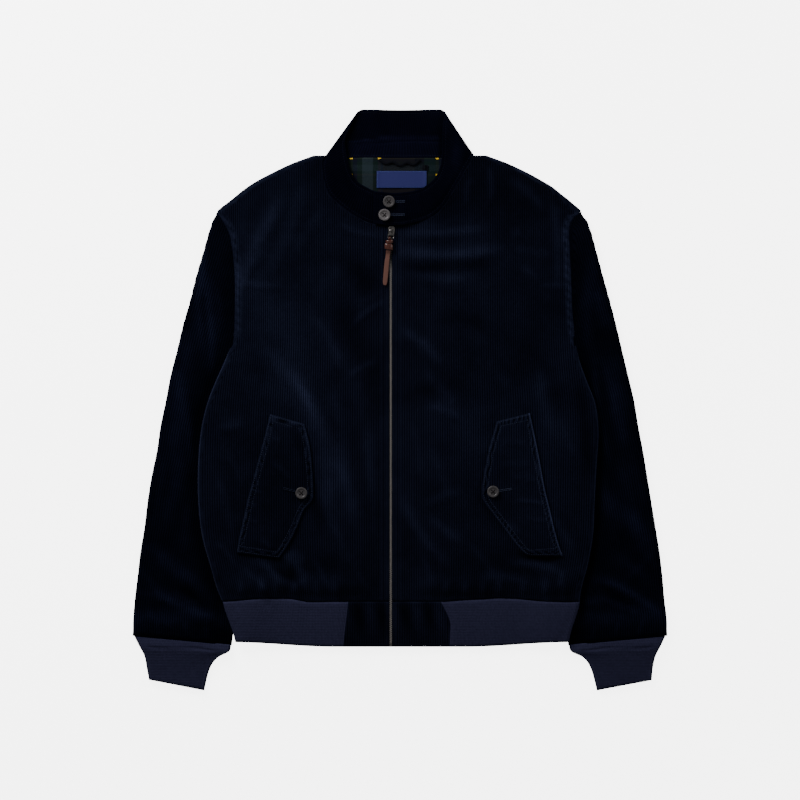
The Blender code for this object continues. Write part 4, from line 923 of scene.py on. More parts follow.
def wall(name, outer, inner, across, raised, finishing, row_step=4, column_step=12, ring=False, both=False):
    """A closed cloth wall. across is each outer point's place over the ridges in mm, and raised says where
    they show, from 0 to 1. Its inner side has fewer points, unless both sides have ridges."""
    rows, columns = outer.shape[:2]
    across, raised = np.broadcast_to(across, (rows, columns)), np.broadcast_to(raised, (rows, columns))
    keys, points, kept = numbered(outer, 0)
    if both:
        row_step = column_step = 1
    some_rows, some_columns = picked(rows, row_step), picked(columns, column_step)
    if ring:
        some_columns = some_columns[:-1]
    inner_keys, inner_points, inner_kept = numbered(inner[np.ix_(some_rows, some_columns)], len(points))
    faces = spans(keys, True, ring)
    inner_faces = spans(inner_keys, False, ring)
    flags = [0] * len(faces) + [0 if both else 1] * len(inner_faces)
    faces += inner_faces
    if ring:
        some_columns.append(columns)
        keys, inner_keys = joined(keys, keys[:, :1]), joined(inner_keys, inner_keys[:, :1])
    for row in (0, -1):
        faces += rim(keys[row], inner_keys[row], some_columns, row != 0)
    if not ring:
        for column in (0, -1):
            faces += rim(keys[:, column], inner_keys[:, column], some_rows, column == 0)
    made = new_piece(name, np.concatenate([points, inner_points]), [], faces, finishing)
    for label, values in (("across", across), ("raised", raised)):
        inside = values[inner_kept] if both else np.zeros(len(inner_points))
        note(made.data, label, np.concatenate([values[kept], inside]))
    note(made.data, "within", np.array(flags + [0] * (len(faces) - len(flags))), "FACE")
    body = bmesh.new()
    body.from_mesh(made.data)
    if body.calc_volume(signed=True) < 0:
        bmesh.ops.reverse_faces(body, faces=body.faces)
    open_edges = sum(1 for edge in body.edges if not edge.is_manifold)
    body.to_mesh(made.data)
    body.free()
    made.data.shade_smooth()
    print(name, len(made.data.polygons), "faces, open edges", open_edges)
    return made


def smooth_area(points):
    """Surface of a grid's faces in square metres."""
    a, b, c, d = points[:-1, :-1], points[:-1, 1:], points[1:, 1:], points[1:, :-1]
    one = np.linalg.norm(np.cross(b - a, c - a), axis=2).sum() / 2
    two = np.linalg.norm(np.cross(c - a, d - a), axis=2).sum() / 2
    return float(one + two) * MM * MM

# %% [markdown]
# ## The ridges of the corduroy, with Geometry Nodes
# The wales repeat hundreds of times over every panel, and all of them obey one rule: take a point's place
# across the cloth, divide it by the width of a wale, and sink the point by how far it is from the middle of
# its ridge. A bump map could fake them, but real channels catch their own shadow when the light is low and
# stay true in the outline. A Geometry Nodes tree holds the rule once, with the width and the depth as named
# inputs, and the rib knit uses the same tree with its own numbers.
# The ridge's height is also kept on the points as pile, which the materials read to paint shade into the
# channels.


# %% The ridge tree
def ridge_tree():
    """Geometry Nodes: channels cut into a panel from its across and raised attributes."""
    tree, start, end = new_tree("ridges", "GeometryNodeTree", [
        ("Panel", "Geometry", None), ("Spacing", "Float", WALE), ("Depth", "Float", WALE_DEPTH),
        ("Roundness", "Float", 0.6), ("Outside", "Material", None), ("Inside", "Material", None),
    ], [("Cloth", "Geometry")])

    def carried(label):
        return node(tree, "GeometryNodeInputNamedAttribute", label, data_type="FLOAT")

    turns = sums(tree, "DIVIDE", carried("across"), start["Spacing"])
    wave = sums(tree, "ABSOLUTE", sums(tree, "SINE", sums(tree, "MULTIPLY", turns, math.pi)))
    crown = sums(tree, "POWER", wave, start["Roundness"])
    sunk = sums(tree, "MULTIPLY", sums(tree, "SUBTRACT", 1.0, crown), carried("raised"))
    metres = sums(tree, "MULTIPLY", sums(tree, "MULTIPLY", sunk, start["Depth"]), -MM)
    piled = node(tree, "GeometryNodeStoreNamedAttribute", start["Panel"], None, "pile", data_type="FLOAT",
                 domain="POINT", named={"Value": sums(tree, "SUBTRACT", 1.0, sunk)})
    offset = scaled(tree, node(tree, "GeometryNodeInputNormal"), metres)
    moved = node(tree, "GeometryNodeSetPosition", piled, named={"Offset": offset})
    real = node(tree, "GeometryNodeRealizeInstances", moved)
    outside = node(tree, "GeometryNodeSetMaterial", real, None, start["Outside"])
    inner_side = sums(tree, "GREATER_THAN", carried("within"), 0.5)
    fed(tree, end, {"Cloth": node(tree, "GeometryNodeSetMaterial", outside, inner_side, start["Inside"])})
    return tree


RIDGES = ridge_tree()


def run_tree(piece, tree, values):
    """The piece as a plain mesh, after a Geometry Nodes tree with these inputs by name."""
    change = piece.modifiers.new(tree.name, "NODES")
    change.node_group = tree
    for socket in tree.interface.items_tree:
        if getattr(socket, "in_out", "") == "INPUT" and socket.name in values:
            change[socket.identifier] = values[socket.name]
    bpy.context.view_layer.update()
    seen = piece.evaluated_get(bpy.context.evaluated_depsgraph_get())
    mesh = bpy.data.meshes.new_from_object(seen)
    piece.modifiers.clear()
    old = piece.data
    piece.data = mesh
    bpy.data.meshes.remove(old)
    mesh.name = piece.name
    return piece


CORDUROY = {"Spacing": WALE, "Depth": WALE_DEPTH, "Roundness": 0.6}
KNIT = {"Spacing": RIB, "Depth": RIB_DEPTH, "Roundness": 0.8}


def clothed(name, outer, inner, across, shown, outside, inside, painted_light=None, ridges=CORDUROY, **how):
    """A wall with its ridges cut and both finishes set. painted_light gives each point its painted light and
    shade.
    """
    piece = wall(name, outer, inner, across, shown, outside, **how)
    run_tree(piece, RIDGES, {**ridges, "Outside": outside, "Inside": inside})
    piece.data.shade_smooth()
    for point in piece.data.vertices:
        point.co.z = max(point.co.z, 0.0)
    if painted_light:
        places = np.zeros(3 * len(piece.data.vertices))
        piece.data.vertices.foreach_get("co", places)
        x, y, z = places.reshape(-1, 3).T / MM
        note(piece.data, "painted_light", painted_light(x, y))
    print(name, "triangles", sum(len(face.vertices) - 2 for face in piece.data.polygons))
    return piece


# %% [markdown]
# ## Where the sewing pulls the cloth down
# A row of stitches flattens the pile under it and leaves a shallow trough. The seams are written once, as
# short lines of points, and used twice: to press the panels here, and to lay the stitches later.

# %% Seam lines on the body
# each line: points x, y
SEAM_LINES = {
    "zip left": [(-19.0, -333.0), (-19.0, -150.0), (-19.0, 40.0), (-19.0, 228.0)],
    "zip left outer": [(-25.5, -270.0), (-25.5, -150.0), (-25.5, 40.0), (-25.5, 229.0)],
    "zip right": [(-6.0, -333.0), (-6.0, -150.0), (-6.0, 40.0), (-6.0, 231.0)],
    "zip right outer": [(0.5, -270.0), (0.5, -150.0), (0.5, 40.0), (0.5, 230.0)],
    "underarm crease": [(190.0, 154.0), (204.0, 153.5), (222.0, 154.0)],
}
ARMHOLE_LINES = (2.2, 8.4)      # how far in from the armhole seam the two rows of stitches are
INWARD = {1: 1.0, 2: -1.0}      # the way from an outline's column to the middle


def armhole_line(column, inset):
    """A row of stitches beside the armhole seam."""
    heights = np.linspace(ARM_END + 1.0, ARM_TOP - 6.0, 40)
    edge = reading(BODY_EDGE, heights, column)
    across = edge + INWARD[column] * inset * np.hypot(1.0, np.gradient(edge, heights))
    return list(zip(across, heights))


for number, inset in enumerate(ARMHOLE_LINES):
    SEAM_LINES["armhole left %d" % number] = armhole_line(1, inset)
    SEAM_LINES["armhole right %d" % number] = armhole_line(2, inset)


def beside(lines, x, y):
    """Distance of points from the nearest of some lines."""
    nearest = np.full(np.shape(x + y), 1e3)
    for line in lines:
        for (ax, ay), (bx, by) in zip(line, line[1:]):
            dx, dy = bx - ax, by - ay
            t = np.clip(((x - ax) * dx + (y - ay) * dy) / (dx * dx + dy * dy), 0.0, 1.0)
            nearest = np.minimum(nearest, np.hypot(x - ax - dx * t, y - ay - dy * t))
    return nearest


PRESS = 0.7             # depth of the trough under a row of stitches
PRESS_HALF = 1.3


def pressed(distance):
    """How far stitches at a distance pull the cloth down, 0 to 1."""
    return bell(distance, PRESS_HALF)


print("seam lines", len(SEAM_LINES))

# %% [markdown]
# ## The two fronts
# Each front hangs from the shoulder to the hem seam. Its side turns over to meet the back at the side seam, its
# armhole edge runs on into the sleeve, and its inner edge is the folded edge beside the zip and then the neck
# seam. Near the sides the wales lean with the outline, because the hem band draws the cloth in.


# %% Columns of a rolled side
def at_arm(y):
    return (y > ARM_END) & (y < ARM_TOP)


def armhole_roll(y):
    """1 where the body's edge turns over, 0 where a sleeve carries its layers on."""
    return np.where(at_arm(y), 1 - np.minimum(turned(ARM_TOP - y, ROLL), turned(y - ARM_END, ROLL)), 1.0)


RIM_STEPS = 7
COLUMN = WALE / STEPS


def rim_columns(y, column):
    """Columns over the rounding of a side, for rows y: outer and inner places and part of the drop."""
    roll = armhole_roll(y)[:, None]
    step = 2.0
    change = straight(BODY_EDGE, y + step, column) - straight(BODY_EDGE, y - step, column)
    slope = np.minimum(np.hypot(1.0, change / (2 * step)), 3.2)[:, None]
    angle = np.linspace(0.0, math.pi / 2, RIM_STEPS)[None, :]
    level = np.linspace(0.0, ROLL, RIM_STEPS)[None, :]
    outside = roll * ROLL * slope * (1 - np.cos(angle)) + (1 - roll) * level
    inside = roll * slope * (WALL + (ROLL - WALL) * (1 - np.cos(angle))) + (1 - roll) * level
    return INWARD[column] * outside, INWARD[column] * inside, roll * (1 - np.sin(angle))


def lean(place, y, column):
    """How far a wale is moved sideways where the sides draw in: none at the zip, most at the side."""
    widest = -272.0 if column == 1 else 267.0
    side = reading(BODY_EDGE, np.minimum(y, ARM_END), column) - widest
    share = np.clip((place - ZIP_X) / (widest - ZIP_X), 0.0, 1.0) ** 2
    hold = np.where(y > -136.5, 0.35, 0.35 + 0.35 * ease((-136.5 - y) / 120.0))
    return side * share * hold


def lowest_near(values, rows, columns):
    """Smallest value within so many rows and columns of each place: a sparse sheet stays under a dense one."""
    out = values.copy()
    for axis, reach in ((0, rows), (1, columns)):
        source = np.moveaxis(out, axis, 0)
        found = source.copy()
        for shift in range(1, reach + 1):
            found[shift:] = np.minimum(found[shift:], source[:-shift])
            found[:-shift] = np.minimum(found[:-shift], source[shift:])
        out = np.moveaxis(found, 0, axis)
    return out


# %% A front
def front_rows():
    """Rows of a front: even ones and those where the neck seam turns."""
    even = np.arange(HEM_Y + 3.0, TOP_Y, 4.0)
    corners = np.array([row[0] for row in FRONT_EDGE if 200.0 < row[0] < TOP_Y] + [
        HEM_Y - 3 * LAP, HEM_Y + 1.2, TOP_Y])
    away = np.abs(even[:, None] - corners[None, :]).min(axis=1) > 1.1
    return np.sort(np.concatenate([even[away], corners]))


EDGE_STEPS = np.array([2.4, 1.5, 0.8, 0.3, 0.0])     # columns over the folded inner edge, from inside out
EDGE_DROP = 0.9


def front(name, column):
    """One front as outer and inner grids, columns in rising x."""
    inward = INWARD[column]
    y = front_rows()
    edge = (reading(BODY_EDGE, y, column) - np.where(at_arm(y), inward * LAP, 0.0))[:, None]
    neck_edge, zip_edge = reading(FRONT_EDGE, y, column) + inward * LAP, straight(FRONT_EDGE, y, column)
    end = np.where(y > 235.0, neck_edge, zip_edge)[:, None]
    out_rim, in_rim, drops = rim_columns(y, column)
    start = edge + out_rim[:, -1:]
    span = np.sort(inward * np.array([edge.min(), edge.max(), end.min(), end.max()]))
    places = np.arange(math.floor(span[0] / COLUMN) - 60, math.ceil(span[-1] / COLUMN) + 2) * COLUMN * inward
    last = inward * np.maximum(inward * (end - inward * EDGE_STEPS[0]), inward * start)
    lines = places[None, :] + lean(places[None, :], y[:, None], column)
    held = np.clip(lines, np.minimum(start, last), np.maximum(start, last))
    tail = inward * np.maximum(inward * (end - inward * EDGE_STEPS[None, 1:]), inward * start)
    x, x_in = joined(edge + out_rim, held, tail), joined(edge + in_rim, held, tail)
    drop = joined(drops, np.zeros((len(y), held.shape[1] + tail.shape[1])))
    seam = straight(HEM_SEAM, x, 1)
    place = y[:, None] + (seam - HEM_Y) * ease((y + 245.0) / -26.0)[:, None]
    top = body_top(x, place)
    lines_near = [line for label, line in SEAM_LINES.items() if ("left" in label) == (column == 1)]
    sewn = pressed(beside(lines_near, x, place))
    fold = EDGE_DROP * (1 - turned(np.clip(np.abs(x - end), 0.0, 1.5), 1.5))
    from_arm = np.abs(x - edge) + 4.0 * armhole_roll(y)[:, None]
    fold = fold + EDGE_DROP * (1 - turned(np.clip(from_arm, 0.0, 1.6), 1.6))
    hem_turn = 0.9 * (1 - turned(place - (seam - HEM_Y) - HEM_Y, 1.2))
    middle = rise(edge, place) + LEVEL / 2 + SEAM / 2
    upper = top - PRESS * sewn - fold - hem_turn
    low = np.minimum(lowest_near(upper, 4, 12) + EDGE_DROP - WALL, top - WALL)
    wale = x - lean(x, y[:, None], column)
    cells = slice(RIM_STEPS, -tail.shape[1])
    wale[:, cells] = np.where(held == lines, places[None, :], wale[:, cells])
    shown = np.minimum(ease(np.abs(x - end) / 2.5), ease(np.abs(x - edge) / 2.5))
    shown = shown * (1 - 0.75 * sewn) * ease((place - seam) / 4.0)
    grids = [grid(x, place, upper - drop * (top - middle)), grid(x_in, place, low - drop * (low - middle)),
             wale, shown]
    made = clothed(name, *[part[:, ::int(inward)] for part in grids], corduroy, tartan, body_painted_light)
    return made, smooth_area(grids[0])


front_left, area_left = front("corduroy_front_left", 1)
front_right, area_right = front("corduroy_front_right", 2)
print("fronts", round(area_left, 4), round(area_right, 4), "square metres")

# %% [markdown]
# ## The back
# The back is one piece from side to side. It is what the jacket rests on, so its middle is flat on the table,
# while its sides come up over the sleeves. Nobody looks at it from above, but a visitor can turn the jacket
# over, so it has its wales too.

# %% The back
BACK_STEP = 7.0


def back_piece(name):
    """The back as outer and inner grids; its outer face looks down."""
    y = np.arange(HEM_Y - 3 * LAP, TOP_Y, BACK_STEP)
    y = np.append(y[np.abs(y - TOP_Y) > 3.0], TOP_Y)
    left = (reading(BODY_EDGE, y, 1) - np.where(at_arm(y), LAP, 0.0))[:, None]
    right = (reading(BODY_EDGE, y, 2) + np.where(at_arm(y), LAP, 0.0))[:, None]
    left_out, left_in, left_drop = rim_columns(y, 1)
    right_out, right_in, right_drop = [part[:, ::-1] for part in rim_columns(y, 2)]
    first, last = math.floor(left.min() / COLUMN) - 40, math.ceil(right.max() / COLUMN) + 40
    places = np.arange(first, last)[None, :] * COLUMN

    def leaning(x):
        return np.where(x < ZIP_X, lean(x, y[:, None], 1), lean(x, y[:, None], 2))

    lines = places + leaning(places)
    held = np.clip(lines, left + left_out[:, -1:], right + right_out[:, :1])
    x = joined(left + left_out, held, right + right_out)
    x_in = joined(left + left_in, held, right + right_in)
    drop = joined(left_drop, np.zeros_like(held), right_drop)
    top = ease((y - 300.0) / 30.0)[:, None]
    place = y[:, None] + (BACK_TOP_Y - TOP_Y) * (1 - ease((np.abs(x) - 94.0) / 12.0)) * top
    low, low_in = rise(x, place), rise(x_in, place)
    middle = rise(np.where(x < 0.0, left, right), place) + LEVEL / 2 - SEAM / 2
    outer = grid(x, place, low + drop * (middle - low))
    inner = grid(x_in, place, low_in + WALL + drop * (middle - low_in - WALL))
    wale = x - leaning(x)
    cells = slice(RIM_STEPS, -RIM_STEPS)
    wale[:, cells] = np.where(held == lines, places, wale[:, cells])
    shown = np.minimum(ease((x - left) / 2.5), ease((right - x) / 2.5)) * ease((place - HEM_Y) / 3.0)
    flipped = [part[:, ::-1] for part in (outer, inner, wale, shown)]
    return clothed(name, *flipped, corduroy, tartan, body_painted_light, row_step=3), smooth_area(outer)


back, area_back = back_piece("corduroy_back")

# %% [markdown]
# ## The sleeves
# A sleeve laid flat is a tube pressed to two layers. Its outer line is a fold, its inner line is the underarm
# seam, and its top is the armhole seam. The wales run along the sleeve beside its outer fold, so a point's
# place across them is its distance from that fold, not its x. Each ring of the tube is cut where that
# distance makes whole steps, and the wales end one by one at the underarm seam, as the sleeve narrows.

# %% Rings of a sleeve
FOLD_STEPS = 9          # columns over the rounding of the outer fold
SEAM_STEPS = 6          # and of the inner one
RING_STEP = 5.0


def under_edge(y, column):
    """Inner line of a sleeve: beside the body, more and more under it, then along the underarm fold."""
    inward = INWARD[column]
    tucked = straight(BODY_EDGE, y, column) + inward * (0.9 + 8.0 * ease((ARM_END - y) / 25.0))
    folded_under = np.where(y <= UNDER_EDGE[-1][0], straight(UNDER_EDGE, y, column), tucked)
    return inward * np.maximum(inward * tucked, inward * folded_under)


def sleeve_ring(outer_y, inner_y, number, column, line):
    """Upper points of one ring: plan places, and their distance from the outer fold."""
    first = float(reading(BODY_EDGE, ARM_TOP, column)) + INWARD[column] * LAP
    last = float(under_edge(ARM_END - 1.0, column))
    start = np.array([float(reading(SLEEVE_EDGE, outer_y, column)), outer_y])
    if number == 0.0:
        start = np.array([first, ARM_TOP + LAP])
    end = np.array([float(under_edge(inner_y, column)), inner_y])
    part = np.linspace(0.0, 1.0, 260)
    x, y = [start[axis] + (end[axis] - start[axis]) * part for axis in (0, 1)]
    chord = first + (last - first) * (ARM_TOP + LAP - y) / (ARM_TOP + LAP - ARM_END + 1.0)
    seam = reading(BODY_EDGE, y, column) + INWARD[column] * LAP
    hold = float(ease((5.0 - number) / 5.0))
    ends = ease(part / 0.1) * ease((1 - part) / 0.1)
    ends = ends + (1 - ends) * float(ease((hold - 0.85) / 0.15))
    x = x + np.where(at_arm(y), hold * ends * (seam - chord), 0.0)
    away = np.hypot(x[:, None] - line[None, :, 0], y[:, None] - line[None, :, 1]).min(axis=1)
    away = np.maximum.accumulate(away - away[0])
    return np.stack([x, y], axis=1), away + np.linspace(0.0, 1e-3, len(away))


def sleeve(name, column):
    """One sleeve as a closed tube of rings."""
    last = tuple(y - 8 * LAP for y in SLEEVE_RINGS[-1])
    rings = np.array([(ARM_TOP - 0.6, ARM_END - 1.0)] + SLEEVE_RINGS[:-1] + [last])
    near_seam = ARM_TOP - 0.6 - np.array([0.5, 1.1, 1.8, 2.8])
    outer_ys = np.append(np.arange(ARM_TOP - 0.6, last[0] + 2.5, -RING_STEP), last[0])
    outer_ys = np.sort(np.append(outer_ys, near_seam))[::-1]
    inner_ys = np.interp(outer_ys, rings[::-1, 0], rings[::-1, 1])
    numbers = np.interp(outer_ys, rings[::-1, 0], np.arange(len(rings))[::-1])
    heights = np.arange(-320.0, ARM_TOP + 0.01, 1.5)
    line = np.stack([reading(SLEEVE_EDGE, heights, column), heights], axis=1)
    angle = np.linspace(0.0, math.pi / 2, FOLD_STEPS + 1)
    seam_angle = np.linspace(0.0, math.pi / 2, SEAM_STEPS + 1)[1:]
    places = np.arange(1, 200) * COLUMN
    flat = np.zeros(len(places))
    part = np.concatenate([np.sin(angle), flat + 1, np.cos(seam_angle)])
    shift = WALL * np.concatenate([1 - np.sin(angle), flat, np.cos(seam_angle) - 1])
    rows = []
    for outer_y, inner_y, number in zip(outer_ys, inner_ys, numbers):
        plan, away = sleeve_ring(outer_y, inner_y, number, column, line)
        run = np.concatenate([[0.0], np.cumsum(np.linalg.norm(np.diff(plan, axis=0), axis=1))])
        fold_here = ROLL * (1 - np.cos(angle)) * min(away[-1] / (2.5 * ROLL), 1.0)
        seam_start = np.interp(run[-1] - ROLL, run, away)
        held = np.clip(fold_here[-1] + places, fold_here[-1], max(seam_start, fold_here[-1]))
        seam_away = np.interp(run[-1] - ROLL * (1 - np.sin(seam_angle)), run, away)
        all_away = np.concatenate([fold_here, held, np.maximum(seam_away, held[-1])])
        x, y = [np.interp(all_away, away, plan[:, axis]) for axis in (0, 1)]
        flat_way = (plan[-1] - plan[0]) / np.linalg.norm(plan[-1] - plan[0])
        arc = (np.arange(FOLD_STEPS + 1) - FOLD_STEPS) * COLUMN
        tail = held[-1] + np.arange(1, SEAM_STEPS + 1) * COLUMN
        wales = np.concatenate([arc, held - fold_here[-1], tail - fold_here[-1]])
        rows.append([x, y, x + flat_way[0] * shift, y + flat_way[1] * shift, wales])
    x, y, x_in, y_in, wales = np.moveaxis(np.array(rows), 1, 0)
    tops = sleeve_top(x, y)
    from_arm = np.where(at_arm(y), np.abs(x - reading(BODY_EDGE, y, column)), 9.0)
    tops = tops - EDGE_DROP * (1 - turned(np.clip(from_arm, 0.0, 1.6), 1.6))
    half = tops / 2
    sunk = (tops - lowest_near(tops, 3, 14)) * ease((ARM_TOP - 20.0 - y) / 15.0)

    def pair(upper, lower):
        """A ring's upper points, then its lower ones on the way back."""
        return joined(upper, lower[:, -2:0:-1])

    outer = pair(grid(x, y, half + (tops - half) * part), grid(x, y, half * (1 - part)))
    inner = pair(grid(x_in, y_in, half + (half - WALL - sunk) * part),
                 grid(x_in, y_in, half - (half - WALL) * part))
    first_arc = FOLD_STEPS * COLUMN
    across = pair(wales + first_arc, -(wales + first_arc))
    from_seam = np.clip((np.max(wales, axis=1)[:, None] - wales) / 4.0, 0.0, 1.0)
    shown = pair(from_seam, from_seam)
    shown[0], shown[-1] = 0.0, 0.0
    grids = [part[::-1, ::int(INWARD[column])] for part in (outer, inner, across, shown)]
    return clothed(name, *grids, corduroy_sleeve, tartan, sleeve_painted_light, ring=True), smooth_area(outer)


sleeve_left, area_sleeve_left = sleeve("corduroy_sleeve_left", 1)
sleeve_right, area_sleeve_right = sleeve("corduroy_sleeve_right", 2)
print("sleeves", round(area_sleeve_left, 4), round(area_sleeve_right, 4), "square metres")

# %% [markdown]
# ## The collar
# The stand collar is a double strip of corduroy sewn round the neck. Laid flat, its back half shows its inner
# side, it folds over at both shoulders, and its ends lap over each other in front, held by two small buttons.
# It is lofted through sections from the neck seam to its upper edge, and its wales stand square to the seam.
# Both of its sides show somewhere, so both sides have wales here.

# %% Collar sections
# neck x, y, top x, y, side (1 front, 0 fold, -1 back), lift, from the left end round the neck
COLLAR = [
    (-2, 235.5, -2, 278.3, 1, 0),
    (-15.5, 235.5, -15.5, 278.5, 1, 0),
    (-34.5, 237.5, -34.5, 282, 1, 0),
    (-54.5, 245.5, -45, 287, 1, 0),
    (-77.5, 260.5, -57.5, 294.5, 1, 0),
    (-96.5, 279.5, -65.5, 306.5, 1, 0),
    (-104, 301, -70, 321.5, 1, 0),
    (-104.5, 317, -72.5, 336, 1, 0),
    (-102, 325.5, -73.5, 352.5, 1, 0),
    (-100, 328.8, -65, 373.5, 1, 0),
    (-99, 332, -57.5, 389, 0, 0),
    (-91, 328.6, -53.5, 391.2, -1, 0),
    (-71, 327.7, -41, 392.1, -1, 0),
    (-37, 327.6, -19.5, 391.6, -1, 0),
    (-0.5, 327.6, 2, 391.3, -1, 0),
    (36, 327.6, 23.5, 391.6, -1, 0),
    (68, 327.7, 45, 392.1, -1, 0),
    (91, 328.6, 57.5, 391.2, -1, 0),
    (99, 332, 61, 389, 0, 0),
    (99, 328.6, 58, 371.5, 1, 0),
    (97, 325.3, 57, 352.5, 1, 0),
    (91, 316, 56.5, 333.5, 1, 0),
    (80.5, 297, 54.5, 316, 1, 0),
    (69.5, 279.5, 48, 301, 1, 0),
    (57.5, 260.5, 38.5, 291.5, 1, 0),
    (38.5, 245.5, 27, 284.5, 1, 0.3),
    (22, 240, 16, 281.5, 1, 2.2),
    (6, 236.6, 4, 279.8, 1, 4.4),
    (-10, 235.5, -10, 279, 1, 4.4),
    (-34.5, 238, -34.5, 281.5, 1, 4.4),
]
COLLAR_WALL = 3.6
COLLAR_MID = 4.3
COLLAR_ROLL = 5.0
COLLAR_ACROSS = np.array([0.0, 0.012, 0.03, 0.06, 0.1, 0.17, 0.25, 0.3, 0.312, 0.324, 0.336, 0.348, 0.36,
                          0.372, 0.42, 0.5, 0.58, 0.66, 0.74, 0.81, 0.87, 0.915, 0.95, 0.97, 0.985, 1.0])


def collar_sections():
    """The collar's sections at every column of its wales, and its two folds."""
    table = np.array(COLLAR)
    middle = (table[:, 0:2] + table[:, 2:4]) * 0.5
    run = np.concatenate([[0.0], np.cumsum(np.linalg.norm(np.diff(middle, axis=0), axis=1))])
    folds = np.flatnonzero(table[:, 4] == 0)
    stops = [0, *folds, len(table) - 1]
    pieces = []
    for first, last in zip(stops, stops[1:]):
        part, keys = table[first:last + 1], run[first:last + 1]
        count = max(int(round((keys[-1] - keys[0]) / COLUMN)), 2)
        at = np.linspace(keys[0], keys[-1], count + 1)
        columns = [curve(keys, part[:, c], at) for c in range(4)]
        side = np.full(count + 1, -1.0 if part[1, 4] < 0 else 1.0)
        section = np.stack(columns + [side, np.interp(at, keys, part[:, 5]), at], axis=1)
        pieces.append(section if last == stops[-1] else section[:-1])
    return np.concatenate(pieces), table[folds]


def collar_painted_light(x, y):
    """Painted light on the collar: a paler strip inside the neck, a painted highlight along its upper edge and a
    soft one at the right.
    """
    top = 349.0 + 5.5 * ease((x + 67.0) / 60.0)
    inside = ease((x + 74.0) / 3.0) * ease((54.0 - x) / 3.0) * ease((y - 326.0) / 2.0)
    painted_highlight = 2.0 * np.exp(-(((x - 75.0) / 8.0) ** 2) - ((y - 332.0) / 24.0) ** 2)
    return inside * (1.6 * ease((top + 1.0 - y) / 1.5) + 3.2 * bell(y - top, 0.9)) + painted_highlight


def collar(name):
    """The collar as two dense grids."""
    sections, folds = collar_sections()
    nx, ny, tx, ty, side, lift, run = sections.T
    t = COLLAR_ACROSS[:, None]
    length = np.hypot(tx - nx, ty - ny)
    under = np.where(side < 0, np.maximum(ny - BACK_TOP_Y + 1.2, 2 * LAP), 2 * LAP)
    part = t - (1 - t) * under / length
    x, y = nx + (tx - nx) * part, ny + (ty - ny) * part
    left = run < run[len(run) // 2]
    ax, ay, bx, by = [np.where(left, folds[0, axis], folds[1, axis]) for axis in range(4)]
    dx, dy = bx - ax, by - ay
    reach = np.hypot(dx, dy)
    along = np.clip(((x - ax) * dx + (y - ay) * dy) / reach**2, 0.0, 1.0)
    distance = np.hypot(x - ax - dx * along, y - ay - dy * along)
    up = turned(distance, COLLAR_ROLL)
    rim_near = np.minimum(t, 1 - t)
    top = LEVEL + (2 * COLLAR_MID - LEVEL) * ease(t / 0.35)
    low = top - WALL - (COLLAR_WALL - WALL) * ease(t / 0.35)
    stitched = pressed((1 - t) * length - 5.0) + pressed(t * length - 4.0)
    facing = t * length - 20.0 - 2.5 * ease((x + 40.0) / 70.0)      # upper edge of the strip inside the neck
    stitched = 0.55 * np.minimum(stitched + np.where(side < 0, 1.3 * pressed(facing), 0.0), 1.6)
    soft = 0.35 * np.sin(run / 17.0 + 2.0 * t) * ease(rim_near * 6)
    soft = soft - 0.9 * (1 - turned(rim_near * length, 1.6)) - stitched
    inward = np.where(left, 1.0, -1.0)
    shift = inward * np.where(distance < COLLAR_ROLL, COLLAR_WALL * (1 - up), 0.0) / reach
    back = side < 0
    outer_z = COLLAR_MID + np.where(back, -COLLAR_MID, top - COLLAR_MID + soft) * up
    inner_z = COLLAR_MID + (np.where(back, COLLAR_WALL + soft, low) - COLLAR_MID) * up
    raised = np.where(back, 0.0, lift)
    outer = grid(x, y, outer_z + raised)
    inner = grid(x + dy * shift, y - dx * shift, inner_z + raised)
    from_end = np.minimum(run - run[0], run[-1] - run)
    shown = ease(rim_near * length / 2.5) * ease(from_end / 3.0) * (1 - 1.2 * stitched)
    made = clothed(name, outer, inner, run, shown, corduroy_collar, corduroy_collar, collar_painted_light, both=True)
    return made, (outer, inner, side), smooth_area(outer)


collar_piece, collar_grids, area_collar = collar("corduroy_collar")

# %% [markdown]
# ## Pocket flaps
# Each slanted welt pocket has a flap sewn into its outer edge, with its free edge towards the zip and buttoned
# down. A flap that lies on a panel is made from that panel's own heights, moved out by its thickness, so it
# follows every fold beneath it and never cuts in. Two rows of stitches run round it.

# %% The flaps
# a row across each: x, y at the sewn edge, x, y at the free edge
FLAP_LEFT = [
    (-175, -19, -129, -32.5),
    (-183.5, -54, -122, -61),
    (-193, -89, -118, -98.5),
    (-200.5, -117.5, -117, -125),
    (-204.5, -131, -119.5, -136.5),
    (-208, -147, -130, -148),
    (-213, -170, -138.5, -170),
    (-217.5, -190, -150, -193),
    (-219.5, -206, -164, -213.5),
]
FLAP_RIGHT = [
    (175, -17.5, 130.5, -29),
    (181, -46, 120.5, -64),
    (187, -75.5, 114, -95),
    (194.5, -117, 110, -126),
    (198, -132, 114, -138),
    (202, -148, 126, -154),
    (207.5, -172, 142, -175),
    (213.5, -194, 158, -196),
    (219.5, -210.5, 172, -210.5),
]
FLAP_THICK = 3.0
FLAP_GAP = 0.75
FLAP_INSETS = (1.8, 7.2)     # the two rows of stitches, in from the flap's edge


def inset_line(line, inset):
    """A closed line moved inward by a distance."""
    points = np.array(line[:-1])
    before, after = np.roll(points, 1, axis=0), np.roll(points, -1, axis=0)
    way = after - before
    normal = np.stack([-way[:, 1], way[:, 0]], axis=1) / np.linalg.norm(way, axis=1)[:, None]
    inwards = np.sign(((points.mean(axis=0) - points) * normal).sum(axis=1))[:, None]
    corner, ahead = points - before, after - points
    cos = (corner * ahead).sum(axis=1) / (np.linalg.norm(corner, axis=1) * np.linalg.norm(ahead, axis=1))
    moved = points + normal * inwards * (inset / np.sqrt(np.clip((1 + cos) / 2, 0.35, 1.0)))[:, None]
    return np.concatenate([moved, moved[:1]])


